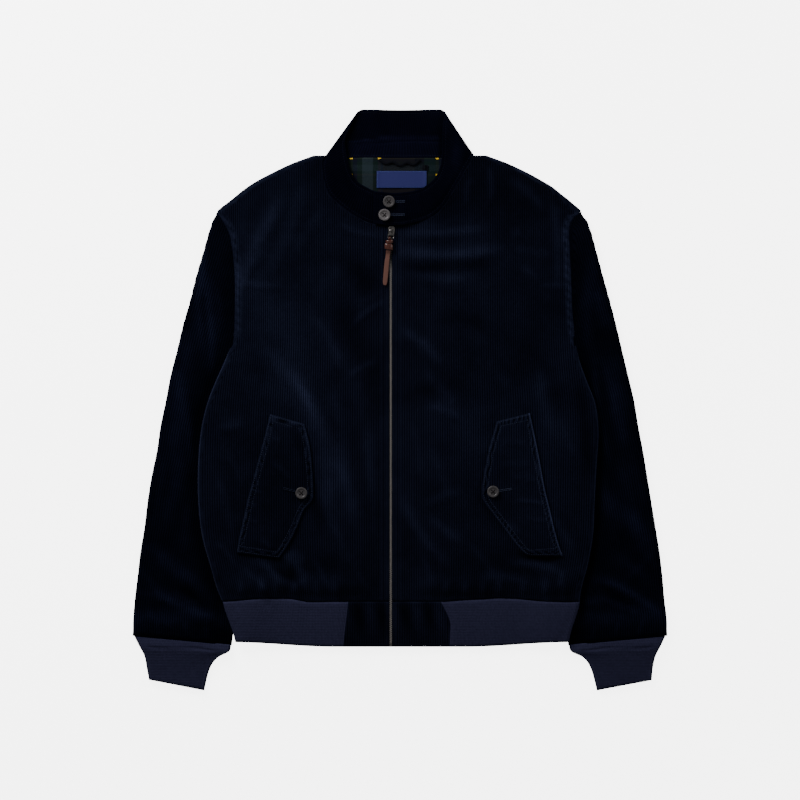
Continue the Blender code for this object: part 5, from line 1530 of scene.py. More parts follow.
def resampled(line, step):
    """Points at even steps along a line."""
    line = np.array(line, float)
    run = np.concatenate([[0.0], np.cumsum(np.linalg.norm(np.diff(line, axis=0), axis=1))])
    at = np.linspace(0.0, run[-1], max(int(run[-1] / step), 2) + 1)
    return np.stack([np.interp(at, run, line[:, k]) for k in range(line.shape[1])], axis=1)


def wale_columns(left, right, lead, margin):
    """Columns of a small panel: its wales, held between its edges, and a few over each edge."""
    left, right, lead = left[:, None], right[:, None], np.array(lead)
    places = np.arange(math.floor(left.min() / COLUMN), math.ceil(right.max() / COLUMN) + 1) * COLUMN
    return joined(left + lead, np.clip(places, left + margin, right - margin), right - lead[::-1])


def gathered(x, y):
    """Short even gathers that run in from a sewn edge."""
    return np.sin(1.5 * y + 0.7 * x + 2.0 * np.sin(0.23 * y + 0.1 * x))


def flap(name, table, edge_highlight):
    """One flap over its front. edge_highlight is how bright the painted highlight along the fold of its sewn
    edge is.
    """
    rows = np.array(table)
    at = np.linspace(0.0, len(rows) - 1.0, 64)
    sewn_x, sewn_y, free_x, free_y = [curve(np.arange(len(rows)), rows[:, c], at)[:, None] for c in range(4)]
    left, right = np.minimum(sewn_x, free_x)[:, 0], np.maximum(sewn_x, free_x)[:, 0]
    x = wale_columns(left, right, (0.0, 0.25, 0.8, 1.6), 2.4)
    y = sewn_y + (free_y - sewn_y) * (x - sewn_x) / (free_x - sewn_x)
    outline = np.concatenate([rows[:, 0:2], rows[::-1, 2:4], rows[:1, 0:2]])
    from_edge = beside([outline], x, y)
    stitch_lines = [inset_line(outline, inset) for inset in FLAP_INSETS]
    sewn = pressed(beside(stitch_lines, x, y))
    base = body_top(x, y) + FLAP_GAP
    puff = 0.5 * ease((from_edge - 8.0) / 14.0) - 1.1 * (1 - turned(from_edge, 1.8))
    pucker = 0.42 * gathered(x, y) * bell(from_edge - 4.6, 3.4)
    upper = base + FLAP_THICK - 0.3 + puff - PRESS * sewn + pucker
    shown = ease(from_edge / 2.2) * (1 - 0.75 * sewn)
    grids = [grid(x, y, upper), grid(x, y, base), x, shown]
    if y[0, 0] > y[-1, 0]:
        grids = [part[::-1] for part in grids]

    # painted light on the flap: the body's, with painted highlights on the gathers, along the sewn fold and
    # round the outline
    def painted_light(px, py):
        away = beside([outline], px, py)
        sewn_edge = beside([outline[:len(rows)]], px, py)
        return body_painted_light(px, py) + 2.6 * gathered(px, py) * bell(away - 4.6, 2.6) + (
            edge_highlight * bell(sewn_edge - 0.9, 1.0)) - 0.1 + 1.6 * bell(away - 0.7, 0.8)

    made = clothed(name, *grids, corduroy, corduroy, painted_light, row_step=3, column_step=6)
    return made, grids[0], stitch_lines


flap_left, flap_left_grid, flap_left_lines = flap("corduroy_flap_left", FLAP_LEFT, 1.0)
flap_right, flap_right_grid, flap_right_lines = flap("corduroy_flap_right", FLAP_RIGHT, 6.0)

# %% [markdown]
# ## Hem panels, hem band and cuffs
# The hem is a band of rib knit that draws the body in, with a short corduroy panel at each side of the zip. The
# cuffs are the same knit, as short tubes. A knit rib stretches and narrows with the piece, so its ribs aren't
# cut off at an edge: they crowd together. So here each column follows its share of the row instead.

# %% Hem panels
# y, left x, right x, x of the seams to the left and right hem panels
HEM_ROWS = [
    (-272.1, -239, 242.5, -70, 55),
    (-283, -236.5, 240.5, -71, 61),
    (-299, -231.5, 236, -73, 67.5),
    (-316, -226, 231, -75, 67.5),
    (-333, -222, 227.5, -76.5, 67),
]
BAND_SIDE_LIFT = 6.5     # the band's lower edge is this much higher at the sides
BAND_WALL = 2.2


def hem_lines(count):
    """Heights over the hem from its lower edge up, and the four lines of its table at them."""
    rows = np.array(HEM_ROWS)[::-1]
    y = np.linspace(rows[0, 0], rows[-1, 0], count)
    return y, [curve(rows[:, 0], rows[:, column], y) for column in (1, 2, 3, 4)]


def hem_panel(name, line, zip_edge):
    """A corduroy end of the hem, beside the zip."""
    y, lines = hem_lines(24)
    left, right = np.minimum(lines[line], zip_edge), np.maximum(lines[line], zip_edge)
    x = wale_columns(left, right, (0.0, 0.3, 0.9, 1.5), 2.0)
    place = np.broadcast_to(y[:, None], x.shape)
    from_side = np.minimum(x - left[:, None], right[:, None] - x)
    from_edge = np.minimum(from_side, np.minimum(place - y[0], y[-1] - place))
    stitched = zip_edge + 4.0 * (1 if zip_edge > ZIP_X else -1)
    sewn = pressed(beside([[(stitched, y[0]), (stitched, y[-1])], [(-80.0, y[0] + 3.0), (80.0, y[0] + 3.0)]],
                          x, place))
    ripple = 0.35 * np.sin(x / 7.0) * bell(place - y[-1] + 8.0, 9.0)
    top = LEVEL + 0.2 + ripple - 0.9 * (1 - turned(from_edge, 1.5)) - PRESS * sewn
    shown = ease(from_edge / 2.0) * (1 - 0.75 * sewn)
    # its painted light: slanting lighter and darker stripes near the lower edge, a little darker overall
    return clothed(
        name, grid(x, place, top), grid(x, place, LEVEL - WALL), x, shown, corduroy, corduroy,
        lambda px, py: 1.1 * np.sin(px / 5.0 + py / 31.0) * bell(py + 290.0, 22.0) - 0.5, row_step=6)


panel_left = hem_panel("corduroy_hem_panel_left", 2, ZIP_LEFT)
panel_right = hem_panel("corduroy_hem_panel_right", 3, ZIP_RIGHT)


# %% Ribbed hem band
def hem_band(name):
    """The band from one side of the zip round the back to the other."""
    y, lines = hem_lines(18)
    left, right, left_end, right_end = [line[:, None] for line in lines]
    left_end, right_end = left_end + LAP, right_end - LAP
    rib = RIB / STEPS
    share_left = np.linspace(0.0, 1.0, int(165.0 / rib))[None, :-1]
    share_right = np.linspace(1.0, 0.0, int(182.0 / rib))[None, 1:]
    share_back = np.linspace(0.0, 1.0, int(465.0 / rib))[None, 1:-1]
    turn = np.linspace(math.pi / 2, -math.pi / 2, int(18.0 / rib))[None, :]
    # places across, layer (1 front, 0 fold, -1 back), angle round the fold, way inward
    path = [
        (left_end + (left + ROLL - left_end) * share_left, 1, None, 0.0),
        (left + 0 * turn, 0, turn, 1.0),
        (left + ROLL + (right - left - 2 * ROLL) * share_back, -1, None, 0.0),
        (right + 0 * turn, 0, turn[:, ::-1], -1.0),
        (right_end + (right - ROLL - right_end) * share_right, 1, None, 0.0),
    ]
    outer, inner = [], []
    lower = (1 - (y - y[0]) / (y[-1] - y[0]))[:, None]
    edge = 0.7 * (1 - turned(np.minimum(lower, 1 - lower) * 62.0, 2.0))
    for x, layer, angle, inward in path:
        xo = xi = x
        if layer == 0:
            xo = x + inward * ROLL * (1 - np.cos(angle))
            xi = x + inward * (BAND_WALL + (ROLL - BAND_WALL) * (1 - np.cos(angle)))
        side = ease((np.abs(xo) - 90.0) / 140.0)
        seam = (straight(HEM_SEAM, xo, 1) - HEM_Y) * (1.0 if layer == 1 else 0.0)
        place = y[:, None] + seam * (1 - lower) ** 2 + BAND_SIDE_LIFT * side * lower
        low = rise(xo, place)
        ripple = 0.5 * np.sin(xo / 13.0 + 1.7 * lower) * np.sin(xo / 31.0) * (1 - lower)
        puff = 0.9 * np.sin(math.pi * np.clip(lower, 0, 1)) ** 0.7 + ripple
        top = low + LEVEL - 0.4
        if layer == 1:
            away = ease((np.abs(xo - np.where(xo < 0, left, right)) - ROLL) / 12.0)
            away = away * ease(np.abs(xo - np.where(xo < 0, left_end, right_end)) / 6.0)
            zo, zi = top + puff * away - edge, top - BAND_WALL + puff * away
        elif layer == -1:
            zo, zi = low + edge, low + BAND_WALL
        else:
            middle = (low + top) / 2
            zo = middle + (top - middle - edge) * np.sin(angle)
            zi = middle + (top - middle - BAND_WALL) * np.sin(angle)
        outer.append(grid(xo, place, zo))
        inner.append(grid(xi, place, zi))
    outer = joined(*outer)
    count = np.arange(outer.shape[1])
    shown = ease(np.minimum(lower, 1 - lower) * 62.0 / 2.0) * ease(np.minimum(count, count[::-1]) * rib / 1.5)
    return clothed(name, outer, joined(*inner), count * rib, shown, rib_knit, rib_knit, ridges=KNIT,
                   row_step=6, column_step=16)


band = hem_band("rib_hem_band")

# %% Ribbed cuffs
# outer x, y, inner x, y, top height
CUFF_LEFT = [
    (-359.5, -317.2, -227.5, -330.2, 7),
    (-352, -332, -230.5, -339.5, 9),
    (-345, -346, -246, -348, 7.6),
    (-342, -362, -256.5, -363, 6.4),
    (-339, -377.5, -264, -392, 6),
]
CUFF_RIGHT = [
    (359, -317.2, 227.5, -330.2, 7),
    (352, -332, 231, -339.5, 9),
    (345, -346, 247.5, -348, 7.6),
    (341.5, -362, 257.5, -363, 6.4),
    (340, -378, 265.5, -392, 6),
]
CUFF_ROLL = 5.0


def cuff(name, table):
    """A ribbed cuff, flat, open at both ends."""
    rows = np.array(table)
    at = np.linspace(0.0, len(rows) - 1.0, 30)
    ox, oy, ix, iy, height = [curve(np.arange(len(rows)), rows[:, c], at)[:, None] for c in range(5)]
    angle = np.linspace(0.0, math.pi / 2, 8)[None, :]
    back = angle[:, ::-1]
    share = np.linspace(0.0, 1.0, int(112.0 / (RIB / STEPS)))[None, 1:-1]
    length = np.hypot(ix - ox, iy - oy)
    ux, uy = (ix - ox) / length, (iy - oy) / length
    reach = joined(CUFF_ROLL * (1 - np.cos(angle)) + 0 * length, CUFF_ROLL + (length - 2 * CUFF_ROLL) * share,
                   length - CUFF_ROLL * (1 - np.cos(back)))
    part = joined(np.sin(angle), 1 + 0 * share, np.sin(back))
    shift = joined(BAND_WALL * (1 - np.sin(angle)), 0 * share, -BAND_WALL * (1 - np.sin(back)))
    x, y = ox + ux * reach, oy + uy * reach
    xi, yi = x + ux * shift, y + uy * shift
    along = (at / at[-1])[:, None]
    crease = 0.5 * np.sin(reach / 19.0 + 6.0 * along) * ease(1 - np.abs(along - 0.3) / 0.3)
    drawn = 0.24 + 0.03 * np.sin(reach / 16.0)      # where the flared knit bends back in
    crease = crease - (0.9 + 0.5 * np.sin(reach / 11.0)) * bell(along - drawn, 0.035)
    top = height + crease * ease((reach - 6.0) / 14.0) * ease((length - 6.0 - reach) / 14.0)
    half = top / 2
    edge = 0.7 * (1 - turned(np.minimum(along, 1 - along) * 60.0, 2.0))
    outer, inner = [
        joined(grid(px, py, half + (half - less) * part),
               grid(px, py, half - (half - less) * part)[:, -2:0:-1])
        for px, py, less in ((x, y, edge), (xi, yi, BAND_WALL))]
    across = np.arange(outer.shape[1]) * RIB / STEPS
    shown = ease(np.minimum(along, 1 - along) * 60.0 / 2.0)
    return clothed(name, outer, inner, across, shown, rib_knit, rib_knit, ridges=KNIT, row_step=6, ring=True)


cuff_left = cuff("rib_cuff_left", CUFF_LEFT)
cuff_right = cuff("rib_cuff_right", CUFF_RIGHT)

# %% [markdown]
# ## Inside the neck
# Between the collar's inner edge and its lapped front, the lining of the back shows: a tartan twill with the
# woven label sewn on, a size tab beside it, and a loop of tape to hang the jacket by. Lining is light cloth
# and never lies quite flat, so it gets low ripples.

# %% Lining, label, tab and loop
# y, left x, right x
LINING = [
    (327, -80, 64),
    (312, -77, 63),
    (298, -68, 54),
    (286, -52, 40),
    (274, -28, 18),
]
LABEL = (-31.5, 36.0, 286.0, 309.0)        # left, right, bottom, top
TAB = (30.5, 38.0, 309.6, 317.0)
LABEL_LOW = WALL + SEAM + 0.8 + SEAM


def lining(name):
    """The lining inside the neck, thin and rippled."""
    rows = np.linspace(LINING[-1][0], LINING[0][0], 30)[:, None]
    left, right = reading(LINING, rows, 1), reading(LINING, rows, 2)
    x = left + (right - left) * np.linspace(0.0, 1.0, 60)[None, :]
    up = 0.55 * (0.5 + 0.5 * np.sin(x / 9.0 + 0.6 * np.sin(rows / 6.0)))
    up = up * (0.5 + 0.5 * np.sin(rows / 11.0 + x / 23.0))
    low = grid(x, rows, WALL + SEAM + up)
    return wall(name, low + (0.0, 0.0, 0.45), low, 0.0, 0.0, tartan, row_step=2, column_step=3)


def patch(name, corners, thick, turn, finishing):
    """A woven patch with folded ends: a little thicker along its left and right edges."""
    left, right, bottom, top = corners
    x = np.concatenate([[left, left + 0.4, left + turn, left + turn + 0.6], np.linspace(
        left + turn + 3.0, right - turn - 3.0, 18), [right - turn - 0.6, right - turn, right - 0.4, right]])
    y = np.concatenate([[bottom, bottom + 0.3], np.linspace(bottom + 2.0, top - 2.0, 8), [top - 0.3, top]])
    xs, ys = np.meshgrid(x, y)
    from_end = np.minimum(xs - left, right - xs)
    edge = np.minimum(from_end, np.minimum(ys - bottom, top - ys)) < 0.05
    low = LABEL_LOW + 0.35 * np.sin(math.pi * (xs - left) / (right - left)) ** 2
    up = low + thick * np.where(from_end <= turn, 1.0, 0.75) - 0.15 * edge
    return wall(name, grid(xs, ys, up), grid(xs, ys, low), 0.0, 0.0, finishing, row_step=1, column_step=1)


neck_lining = lining("tartan_neck_lining")
neck_label = patch("woven_neck_label", LABEL, 0.6, 3.0, label_blue)
size_tab = patch("woven_size_tab", TAB, 0.5, 0.8, loop_tape)

# x, y, height of its underside
LOOP = [
    (-28, 324.5, 3.9),
    (-20, 319.5, 4.2),
    (-10, 321.5, 4.6),
    (0, 317, 4.7),
    (9, 320.5, 4.6),
    (18, 318, 4.2),
    (27, 324.5, 3.9),
]
LOOP_WIDTH = 3.6


def hanger_loop(name):
    """A soft loop of tape in the neck, its edges rolled a little."""
    at = np.linspace(LOOP[0][0], LOOP[-1][0], 90)
    y, z = reading(LOOP, at, 1), reading(LOOP, at, 2)
    slope = np.gradient(y, at)
    width = np.linspace(-0.5, 0.5, 9)[:, None] * LOOP_WIDTH
    crown = 0.3 * (1 - (2 * width / LOOP_WIDTH) ** 2)
    x, ys = at - slope / np.hypot(1, slope) * width, y + 1 / np.hypot(1, slope) * width
    return wall(name, grid(x, ys, z + 0.8 + crown), grid(x, ys, z), 0.0, 0.0, loop_tape, row_step=2,
                column_step=2)


hanger = hanger_loop("hanger_loop_tape")

# %% [markdown]
# ## The zip
# A metal zip is two woven tapes, each with a row of teeth clamped to its edge, and closed they bite into each
# other in turn. One tooth is a short bar with a rounded head. Geometry Nodes set it along a line at an even
# spacing, and a second pass half a step on, turned round, gives the other side. The tape is a twill with a
# thicker cord along its edge.

# %% Zip tapes
ZIP_TOP, ZIP_END = 233.0, -333.0
TAPE_LOW, TAPE_TOP = 2.95, 3.95


def zip_side(name, left, right):
    """One tape: a thin strip with fine ribs along it."""
    xs, ys = np.meshgrid(np.linspace(left, right, 16), np.linspace(ZIP_END, ZIP_TOP, 60))
    outer = grid(xs, ys, TAPE_TOP - 0.1 + 0.08 * np.sin(xs * 2.4))
    return wall(name, outer, grid(xs, ys, TAPE_LOW), 0.0, 0.0, zip_tape, column_step=3)


tapes = [zip_side("zip_tape_twill_left", -27.0, ZIP_X - 0.2),
         zip_side("zip_tape_twill_right", ZIP_X + 0.2, 2.0)]


# %% A row of teeth
def teeth_tree():
    """Geometry Nodes: one tooth set along a line at even steps, for both sides of a closed zip."""
    tree, start, end = new_tree("zip_teeth", "GeometryNodeTree", [
        ("Pitch", "Float", 0.0026), ("Length", "Float", 0.5), ("Tooth long", "Float", 0.0032),
        ("Tooth wide", "Float", 0.0012), ("Tooth high", "Float", 0.0024), ("Head", "Float", 0.0008),
        ("Metal", "Material", None)], [("Teeth", "Geometry")])
    pitch, long, wide, high = [start[label] for label in ("Pitch", "Tooth long", "Tooth wide", "Tooth high")]

    def times(value, factor):
        return sums(tree, "MULTIPLY", value, factor)

    def vector(*parts):
        return node(tree, "ShaderNodeCombineXYZ", *parts)

    bar = node(tree, "GeometryNodeMeshCube", vector(long, wide, high))
    head = node(tree, "GeometryNodeMeshCylinder", named={
        "Vertices": 8, "Radius": start["Head"], "Depth": high})
    head = node(tree, "GeometryNodeTransform", head, named={"Translation": vector(times(long, 0.5))})
    tooth, both = node(tree, "GeometryNodeJoinGeometry", bar), node(tree, "GeometryNodeJoinGeometry")
    fed(tree, tooth, {0: head})
    count = sums(tree, "FLOOR", sums(tree, "DIVIDE", start["Length"], pitch))
    for side in (-1.0, 1.0):
        first = vector(times(long, 0.42 * side), times(pitch, 0.25 + 0.25 * side))
        row = node(tree, "GeometryNodeMeshLine", mode="OFFSET",
                   named={"Count": count, "Start Location": first, "Offset": vector(0.0, pitch)})
        placed = node(tree, "GeometryNodeInstanceOnPoints", row, named={
            "Instance": tooth, "Rotation": (0.0, 0.0, math.pi if side > 0 else 0.0)})
        fed(tree, both, {0: placed})
    real = node(tree, "GeometryNodeRealizeInstances", both)
    fed(tree, end, {"Teeth": node(tree, "GeometryNodeSetMaterial", real, None, start["Metal"])})
    return tree


TEETH_Z = 5.8
teeth = run_tree(new_piece("zip_teeth"), teeth_tree(), {
    "Pitch": 0.0026, "Length": (ZIP_TOP - 6.0 - ZIP_END) * MM, "Tooth long": 0.0016, "Tooth wide": 0.00115,
    "Tooth high": 0.0023, "Head": 0.00055, "Metal": zip_metal})
for point in teeth.data.vertices:
    point.co += mathutils.Vector((ZIP_X, ZIP_END + 1.5, TEETH_Z)) * MM
print("teeth", len(teeth.data.polygons), "faces,", [round(v * 1000, 1) for v in teeth.dimensions])


# %% Cord behind the teeth, with the two end stops
def boxes(name, rows, finishing, bevel=0.0):
    """Boxes given by their lowest and highest corners, as one piece."""
    points, faces = [], []
    for low, high in rows:
        first = len(points)
        points += [(x, y, z) for z in (low[2], high[2]) for y in (low[1], high[1]) for x in (low[0], high[0])]
        for loop in ((0, 2, 3, 1), (4, 5, 7, 6), (0, 1, 5, 4), (2, 6, 7, 3), (0, 4, 6, 2), (1, 3, 7, 5)):
            faces.append([first + corner for corner in loop])
    made = new_piece(name, points, [], faces, finishing)
    if bevel:
        soft = made.modifiers.new("soft edges", "BEVEL")
        soft.width = bevel * MM
        soft.segments = 2
    return made


def zip_boxes(name, rows, finishing, bevel=0.0):
    """Boxes beside the middle of the zip: left and right of it, lower and upper end, height."""
    return boxes(name, [((ZIP_X + left, low, bottom), (ZIP_X + right, high, top))
                        for left, right, low, high, bottom, top in rows], finishing, bevel)


zip_cord = zip_boxes("zip_cord", [
    (-1.5, -0.15, ZIP_END + 0.5, ZIP_TOP - 4.5, 4.35, 5.0),
    (0.15, 1.5, ZIP_END + 0.5, ZIP_TOP - 4.5, 4.35, 5.0)], zip_tape)
zip_stops = zip_boxes("zip_stops", [
    (-1.5, 1.5, ZIP_END, ZIP_END + 5.5, 4.4, 7.05),
    (-1.5, -0.25, ZIP_TOP - 3.2, ZIP_TOP - 0.4, 4.4, 7.05),
    (0.25, 1.5, ZIP_TOP - 3.2, ZIP_TOP - 0.4, 4.4, 7.05)], slider_metal, 0.3)

# %% [markdown]
# ## The leather pull
# A strip of leather is threaded through the wire bail and knotted on itself, then hangs down beside the zip
# with a slanted cut end. It is lofted through rings whose width and thickness are read from a table, the knot
# is two bands that cross over it, and the whole piece swings with the bail.

# %% Strap and knot
PIVOT_X, PIVOT_Y, PIVOT_Z = -11.5, 229.5, 10.4
BAIL_LONG = 11.5                           # from the pivot to the bail's lower bar
STRAP_SHIFT, STRAP_LEAN = -1.9, -0.1117    # the strap hangs to the left of the pivot, and leans
EYE_X, EYE_HALF = -2.2, 1.45               # its loop round the bail's lower bar
# along from the pivot, half width, half thickness, height
STRAP = [
    (12.9, 1.3, 1.9, 0),
    (14.6, 3.9, 2.5, 0.2),
    (16.5, 5, 2.9, 0.4),
    (18.4, 4.7, 2.7, 0.3),
    (20.2, 5.2, 2.9, 0.2),
    (22.5, 5.9, 3, 0.1),
    (25.4, 5.6, 2.9, -0.2),
    (28.2, 3.5, 1.9, -0.7),
    (31, 3, 1.1, -1.2),
    (42, 3.1, 1, -1.5),
    (56, 3.2, 1, -1.6),
    (66, 3.1, 1, -1.6),
    (72, 2.7, 0.95, -1.6),
    (75.2, 1.6, 0.8, -1.6),
]


def on_pull(x, along, up):
    """A point of the pull: across, down from the pivot along the strap, and up from it."""
    aside = STRAP_SHIFT * np.minimum(along / BAIL_LONG, 1.0) + STRAP_LEAN * np.maximum(along - 8.0, 0.0)
    return np.stack(np.broadcast_arrays(PIVOT_X + x + aside, PIVOT_Y - along, PIVOT_Z + up), axis=-1)


def skin(name, tubes, finishing):
    """One piece from several tubes, each a list of rings of equal count, closed at both ends."""
    points, faces = [], []
    for rings in tubes:
        first, (count, sides) = len(points), np.shape(rings)[:2]
        points += [tuple(p) for ring in rings for p in ring]
        for i in range(first, first + (count - 1) * sides, sides):
            for k in range(sides):
                m = (k + 1) % sides
                faces.append([i + k, i + sides + k, i + sides + m, i + m])
        faces.append([first + k for k in range(sides)])
        faces.append([first + (count - 1) * sides + k for k in reversed(range(sides))])
    return new_piece(name, points, [], faces, finishing, outward=True)


def rounded(half, thick, sides, square):
    """A flat section with rounded corners: places across and above its middle."""
    turn = np.linspace(0.0, 2 * math.pi, sides, endpoint=False)
    across, above = np.cos(turn), np.sin(turn)
    return (half * np.sign(across) * np.abs(across) ** square,
            thick * np.sign(above) * np.abs(above) ** square)


def flat_ring(centre, side, up, half, thick, sides, square):
    """Such a section round a centre."""
    across, above = rounded(half, thick, sides, square)
    return centre + across[:, None] * np.array(side) + above[:, None] * np.array(up)


def strap_rings():
    """The strap from the knot to its slanted tip."""
    rows = np.array(STRAP)
    rings = []
    for along in np.concatenate([
            np.linspace(13.6, 27.0, 16), np.linspace(28.0, 71.5, 40), np.linspace(72.2, 74.6, 5)]):
        half, thick, up = [float(curve(rows[:, 0], rows[:, c], along)) for c in (1, 2, 3)]
        if along < 29.0:
            half, thick = min(half, 3.0), max(thick - 0.9, 0.8)
        across, above = rounded(half, thick, 20, 0.4)
        slant = 0.7 * float(ease((along - 68.0) / 6.0)) * across / 3.0
        rings.append(on_pull(0.25 * math.sin(along / 9.0) + across, along + slant, up + above))
    return rings


def band_round(low_along, high_along, half_x, half_z, width, thick, up):
    """A closed band that wraps the knot, slanting from one height to the other."""
    rings = []
    for turn in np.linspace(0.0, 2 * math.pi, 33):
        right, out = math.cos(turn), math.sin(turn)
        along = (low_along + high_along) / 2 + (high_along - low_along) / 2 * right
        centre = on_pull(half_x * right, along, up + half_z * out)
        rings.append(flat_ring(centre, (0.0, -1.0, 0.0), (right, 0.0, out), width, thick, 12, 0.6))
    return rings


def eye_band():
    """The loop of leather round the bail's lower bar."""
    rings = []
    for turn in np.linspace(0.0, 2 * math.pi, 25):
        back, out = math.cos(turn), math.sin(turn)
        centre = on_pull(EYE_X - STRAP_SHIFT, BAIL_LONG - 1.6 * back, 1.6 * out)
        rings.append(flat_ring(centre, (1.0, 0.0, 0.0), (0.0, back, out), EYE_HALF, 0.55, 12, 0.5))
    return rings


pull_leather = skin("leather_pull", [
    strap_rings(), eye_band(), band_round(16.6, 15.6, 4.2, 2.1, 2.45, 0.75, 0.35),
    band_round(22.2, 23.8, 5.0, 2.25, 3.9, 0.8, 0.1)], leather)
print("pull", [round(v * 1000, 1) for v in pull_leather.dimensions])

# %% [markdown]
# ## Sewing
# A stitch shows as a short fat dash of thread with a gap where the needle went down. They all repeat along
# lines, so they are instances: a Geometry Nodes tree takes lines of points, steps along them, and sets one
# small rounded dash at each step, turned along the line. Turned square to the line and set close, the same
# dash makes the dense satin stitch of a buttonhole.


# %% The stitch tree
def stitch_tree():
    """Geometry Nodes: dashes of thread along lines."""
    tree, start, end = new_tree("stitches", "GeometryNodeTree", [
        ("Lines", "Geometry", None), ("Step", "Float", 0.003), ("Long", "Float", 0.0023),
        ("Wide", "Float", 0.0006), ("High", "Float", 0.00045), ("Turned", "Float", 0.0),
        ("Thread", "Material", None)], [("Sewing", "Geometry")])
    path = node(tree, "GeometryNodeMeshToCurve", start["Lines"])
    steps = node(tree, "GeometryNodeResampleCurve", path, mode="LENGTH", named={"Length": start["Step"]})
    dash = node(tree, "GeometryNodeMeshIcoSphere", 0.5, 1)
    size = node(tree, "ShaderNodeCombineXYZ", start["Long"], start["Wide"], start["High"])
    dash = node(tree, "GeometryNodeTransform", dash, named={"Scale": size})
    turn = node(tree, "ShaderNodeCombineXYZ", 0.0, 0.0, start["Turned"])
    dash = node(tree, "GeometryNodeTransform", dash, named={"Rotation": turn})
    way = node(tree, "GeometryNodeInputTangent")
    aim = node(tree, "FunctionNodeAlignRotationToVector", axis="X", named={"Vector": way})
    placed = node(tree, "GeometryNodeInstanceOnPoints", steps, named={"Instance": dash, "Rotation": aim})
    real = node(tree, "GeometryNodeRealizeInstances", placed)
    fed(tree, end, {"Sewing": node(tree, "GeometryNodeSetMaterial", real, None, start["Thread"])})
    return tree


STITCHES = stitch_tree()


def sewn_lines(name, lines, finishing, step=3.0, long=2.3, wide=0.6, high=0.45, turned_by=0.0):
    """A piece of stitches along lines of points x, y, z in millimetres."""
    points, edges = [], []
    for line in lines:
        edges += [(k, k + 1) for k in range(len(points), len(points) + len(line) - 1)]
        points += [tuple(point) for point in line]
    made = run_tree(new_piece(name, points, edges), STITCHES, {
        "Step": step * MM, "Long": long * MM, "Wide": wide * MM, "High": high * MM, "Turned": turned_by,
        "Thread": finishing})
    made.data.shade_smooth()
    print(name, len(made.data.polygons), "faces")
    return made


# %% Topstitching of the body and flaps
SUNK = PRESS - 0.12      # a stitch lies in its trough


def lifted(line, height):
    """A line of the plan resampled and laid at a height function."""
    plan = resampled(line, 6.0)
    return np.column_stack([plan, height(plan[:, 0], plan[:, 1])])


def on_body(x, y):
    return np.where(y < HEM_Y + 1.0, LEVEL + 0.2, body_top(x, y)) - SUNK


def on_flap(x, y):
    return body_top(x, y) + FLAP_GAP + FLAP_THICK - 0.2 - SUNK


topstitching = sewn_lines("topstitching_body", [lifted(line, on_body) for line in SEAM_LINES.values()],
                          thread_shaded)
flap_stitching = sewn_lines("topstitching_flaps", [
    lifted(line, on_flap) for line in flap_left_lines + flap_right_lines], thread)


# %% Topstitching of the collar
def collar_lines():
    """Lines along both edges, 5 mm from the upper one and 4 mm from the seam, on the faces that look up."""
    lines = []
    for target, from_top in ((5.0, True), (4.0, False)):
        for points, sign in zip(collar_grids, (1, -1)):
            share = target / np.linalg.norm(points[-1, :, :2] - points[0, :, :2], axis=1)
            share = 1 - share if from_top else share
            line = np.array([[np.interp(share[k], COLLAR_ACROSS, points[:, k, axis]) for axis in range(3)]
                             for k in range(points.shape[1])]) + (0.0, 0.0, 0.12)
            wanted = np.flatnonzero(collar_grids[2] == sign)
            for run in np.split(wanted, np.flatnonzero(np.diff(wanted) > 1) + 1):
                if len(run) > 40:
                    lines.append(line[run[8:-8:6]])
    return lines


collar_stitching = sewn_lines("topstitching_collar", collar_lines(), thread_shaded)

# %% Buttonholes
# start x, y, end x, y, and the piece they are cut in
HOLES = [
    (-9.0, 267.3, 6.5, 267.6, collar_grids[0]),
    (-13.0, 249.5, 6.0, 249.8, collar_grids[0]),
    (-139.0, -123.8, -157.0, -118.9, flap_left_grid),
    (131.5, -122.7, 150.5, -120.0, flap_right_grid),
]


def satin(x0, y0, x1, y1, points):
    """Two close rows of dashes along a slit, on a dense grid of points."""
    flat = points.reshape(-1, 3)
    length = math.hypot(x1 - x0, y1 - y0)
    lines = []
    for side in (-0.95, 0.95):
        dx, dy = -(y1 - y0) / length * side, (x1 - x0) / length * side
        line = []
        for x, y in resampled([(x0 + dx, y0 + dy), (x1 + dx, y1 + dy)], 2.0):
            nearest = np.argsort(np.hypot(flat[:, 0] - x, flat[:, 1] - y))[:6]
            line.append((x, y, float(flat[nearest, 2].max())))
        lines.append(line)
    return lines


buttonholes = sewn_lines("buttonholes", sum((satin(*hole) for hole in HOLES), []), thread, step=0.62,
                         long=1.75, wide=0.5, high=0.7, turned_by=math.pi / 2)

# %% [markdown]
# ## Button thread and label sewing
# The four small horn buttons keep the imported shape, which is right, and get a finish. What they lack is the
# thread through their holes: two strands crossed over the middle of each. The label is held by a row of fine
# stitches round its edge.


# %% Thread in the buttons
def button_threads(name, buttons):
    """Thread crossed between the four holes of each button."""
    tubes = []
    for label in buttons:
        low, high = [np.array([float(v) for v in corner]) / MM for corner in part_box(label)]
        x, y = (low + high)[:2] / 2
        for turn in (math.radians(45.0), math.radians(135.0)):
            way = np.array([math.cos(turn), math.sin(turn), 0.0])
            rings = []
            for part in np.linspace(-1.0, 1.0, 9):
                place = np.array([x, y, low[2] + 1.7 + 0.75 * (1 - part**4)]) + way * part * 2.9
                rings.append(flat_ring(place, (-way[1], way[0], 0.0), (0.0, 0.0, 1.0), 0.42, 0.36, 8, 0.9))
            tubes.append(rings)
    return skin(name, tubes, thread_dark)


KEPT = {"collar_button_upper": horn, "collar_button_lower": horn_pale, "flap_button_left": horn,
        "flap_button_right": horn, "zip_slider": slider_metal, "pull_bail": slider_metal}
threads = button_threads("button_threads", list(KEPT)[:4])

# %% Sewing of the label
left, right, bottom, top = LABEL
corners = [(left + 1.0, bottom + 1.0), (right - 1.0, bottom + 1.0), (right - 1.0, top - 1.0),
           (left + 1.0, top - 1.0)]


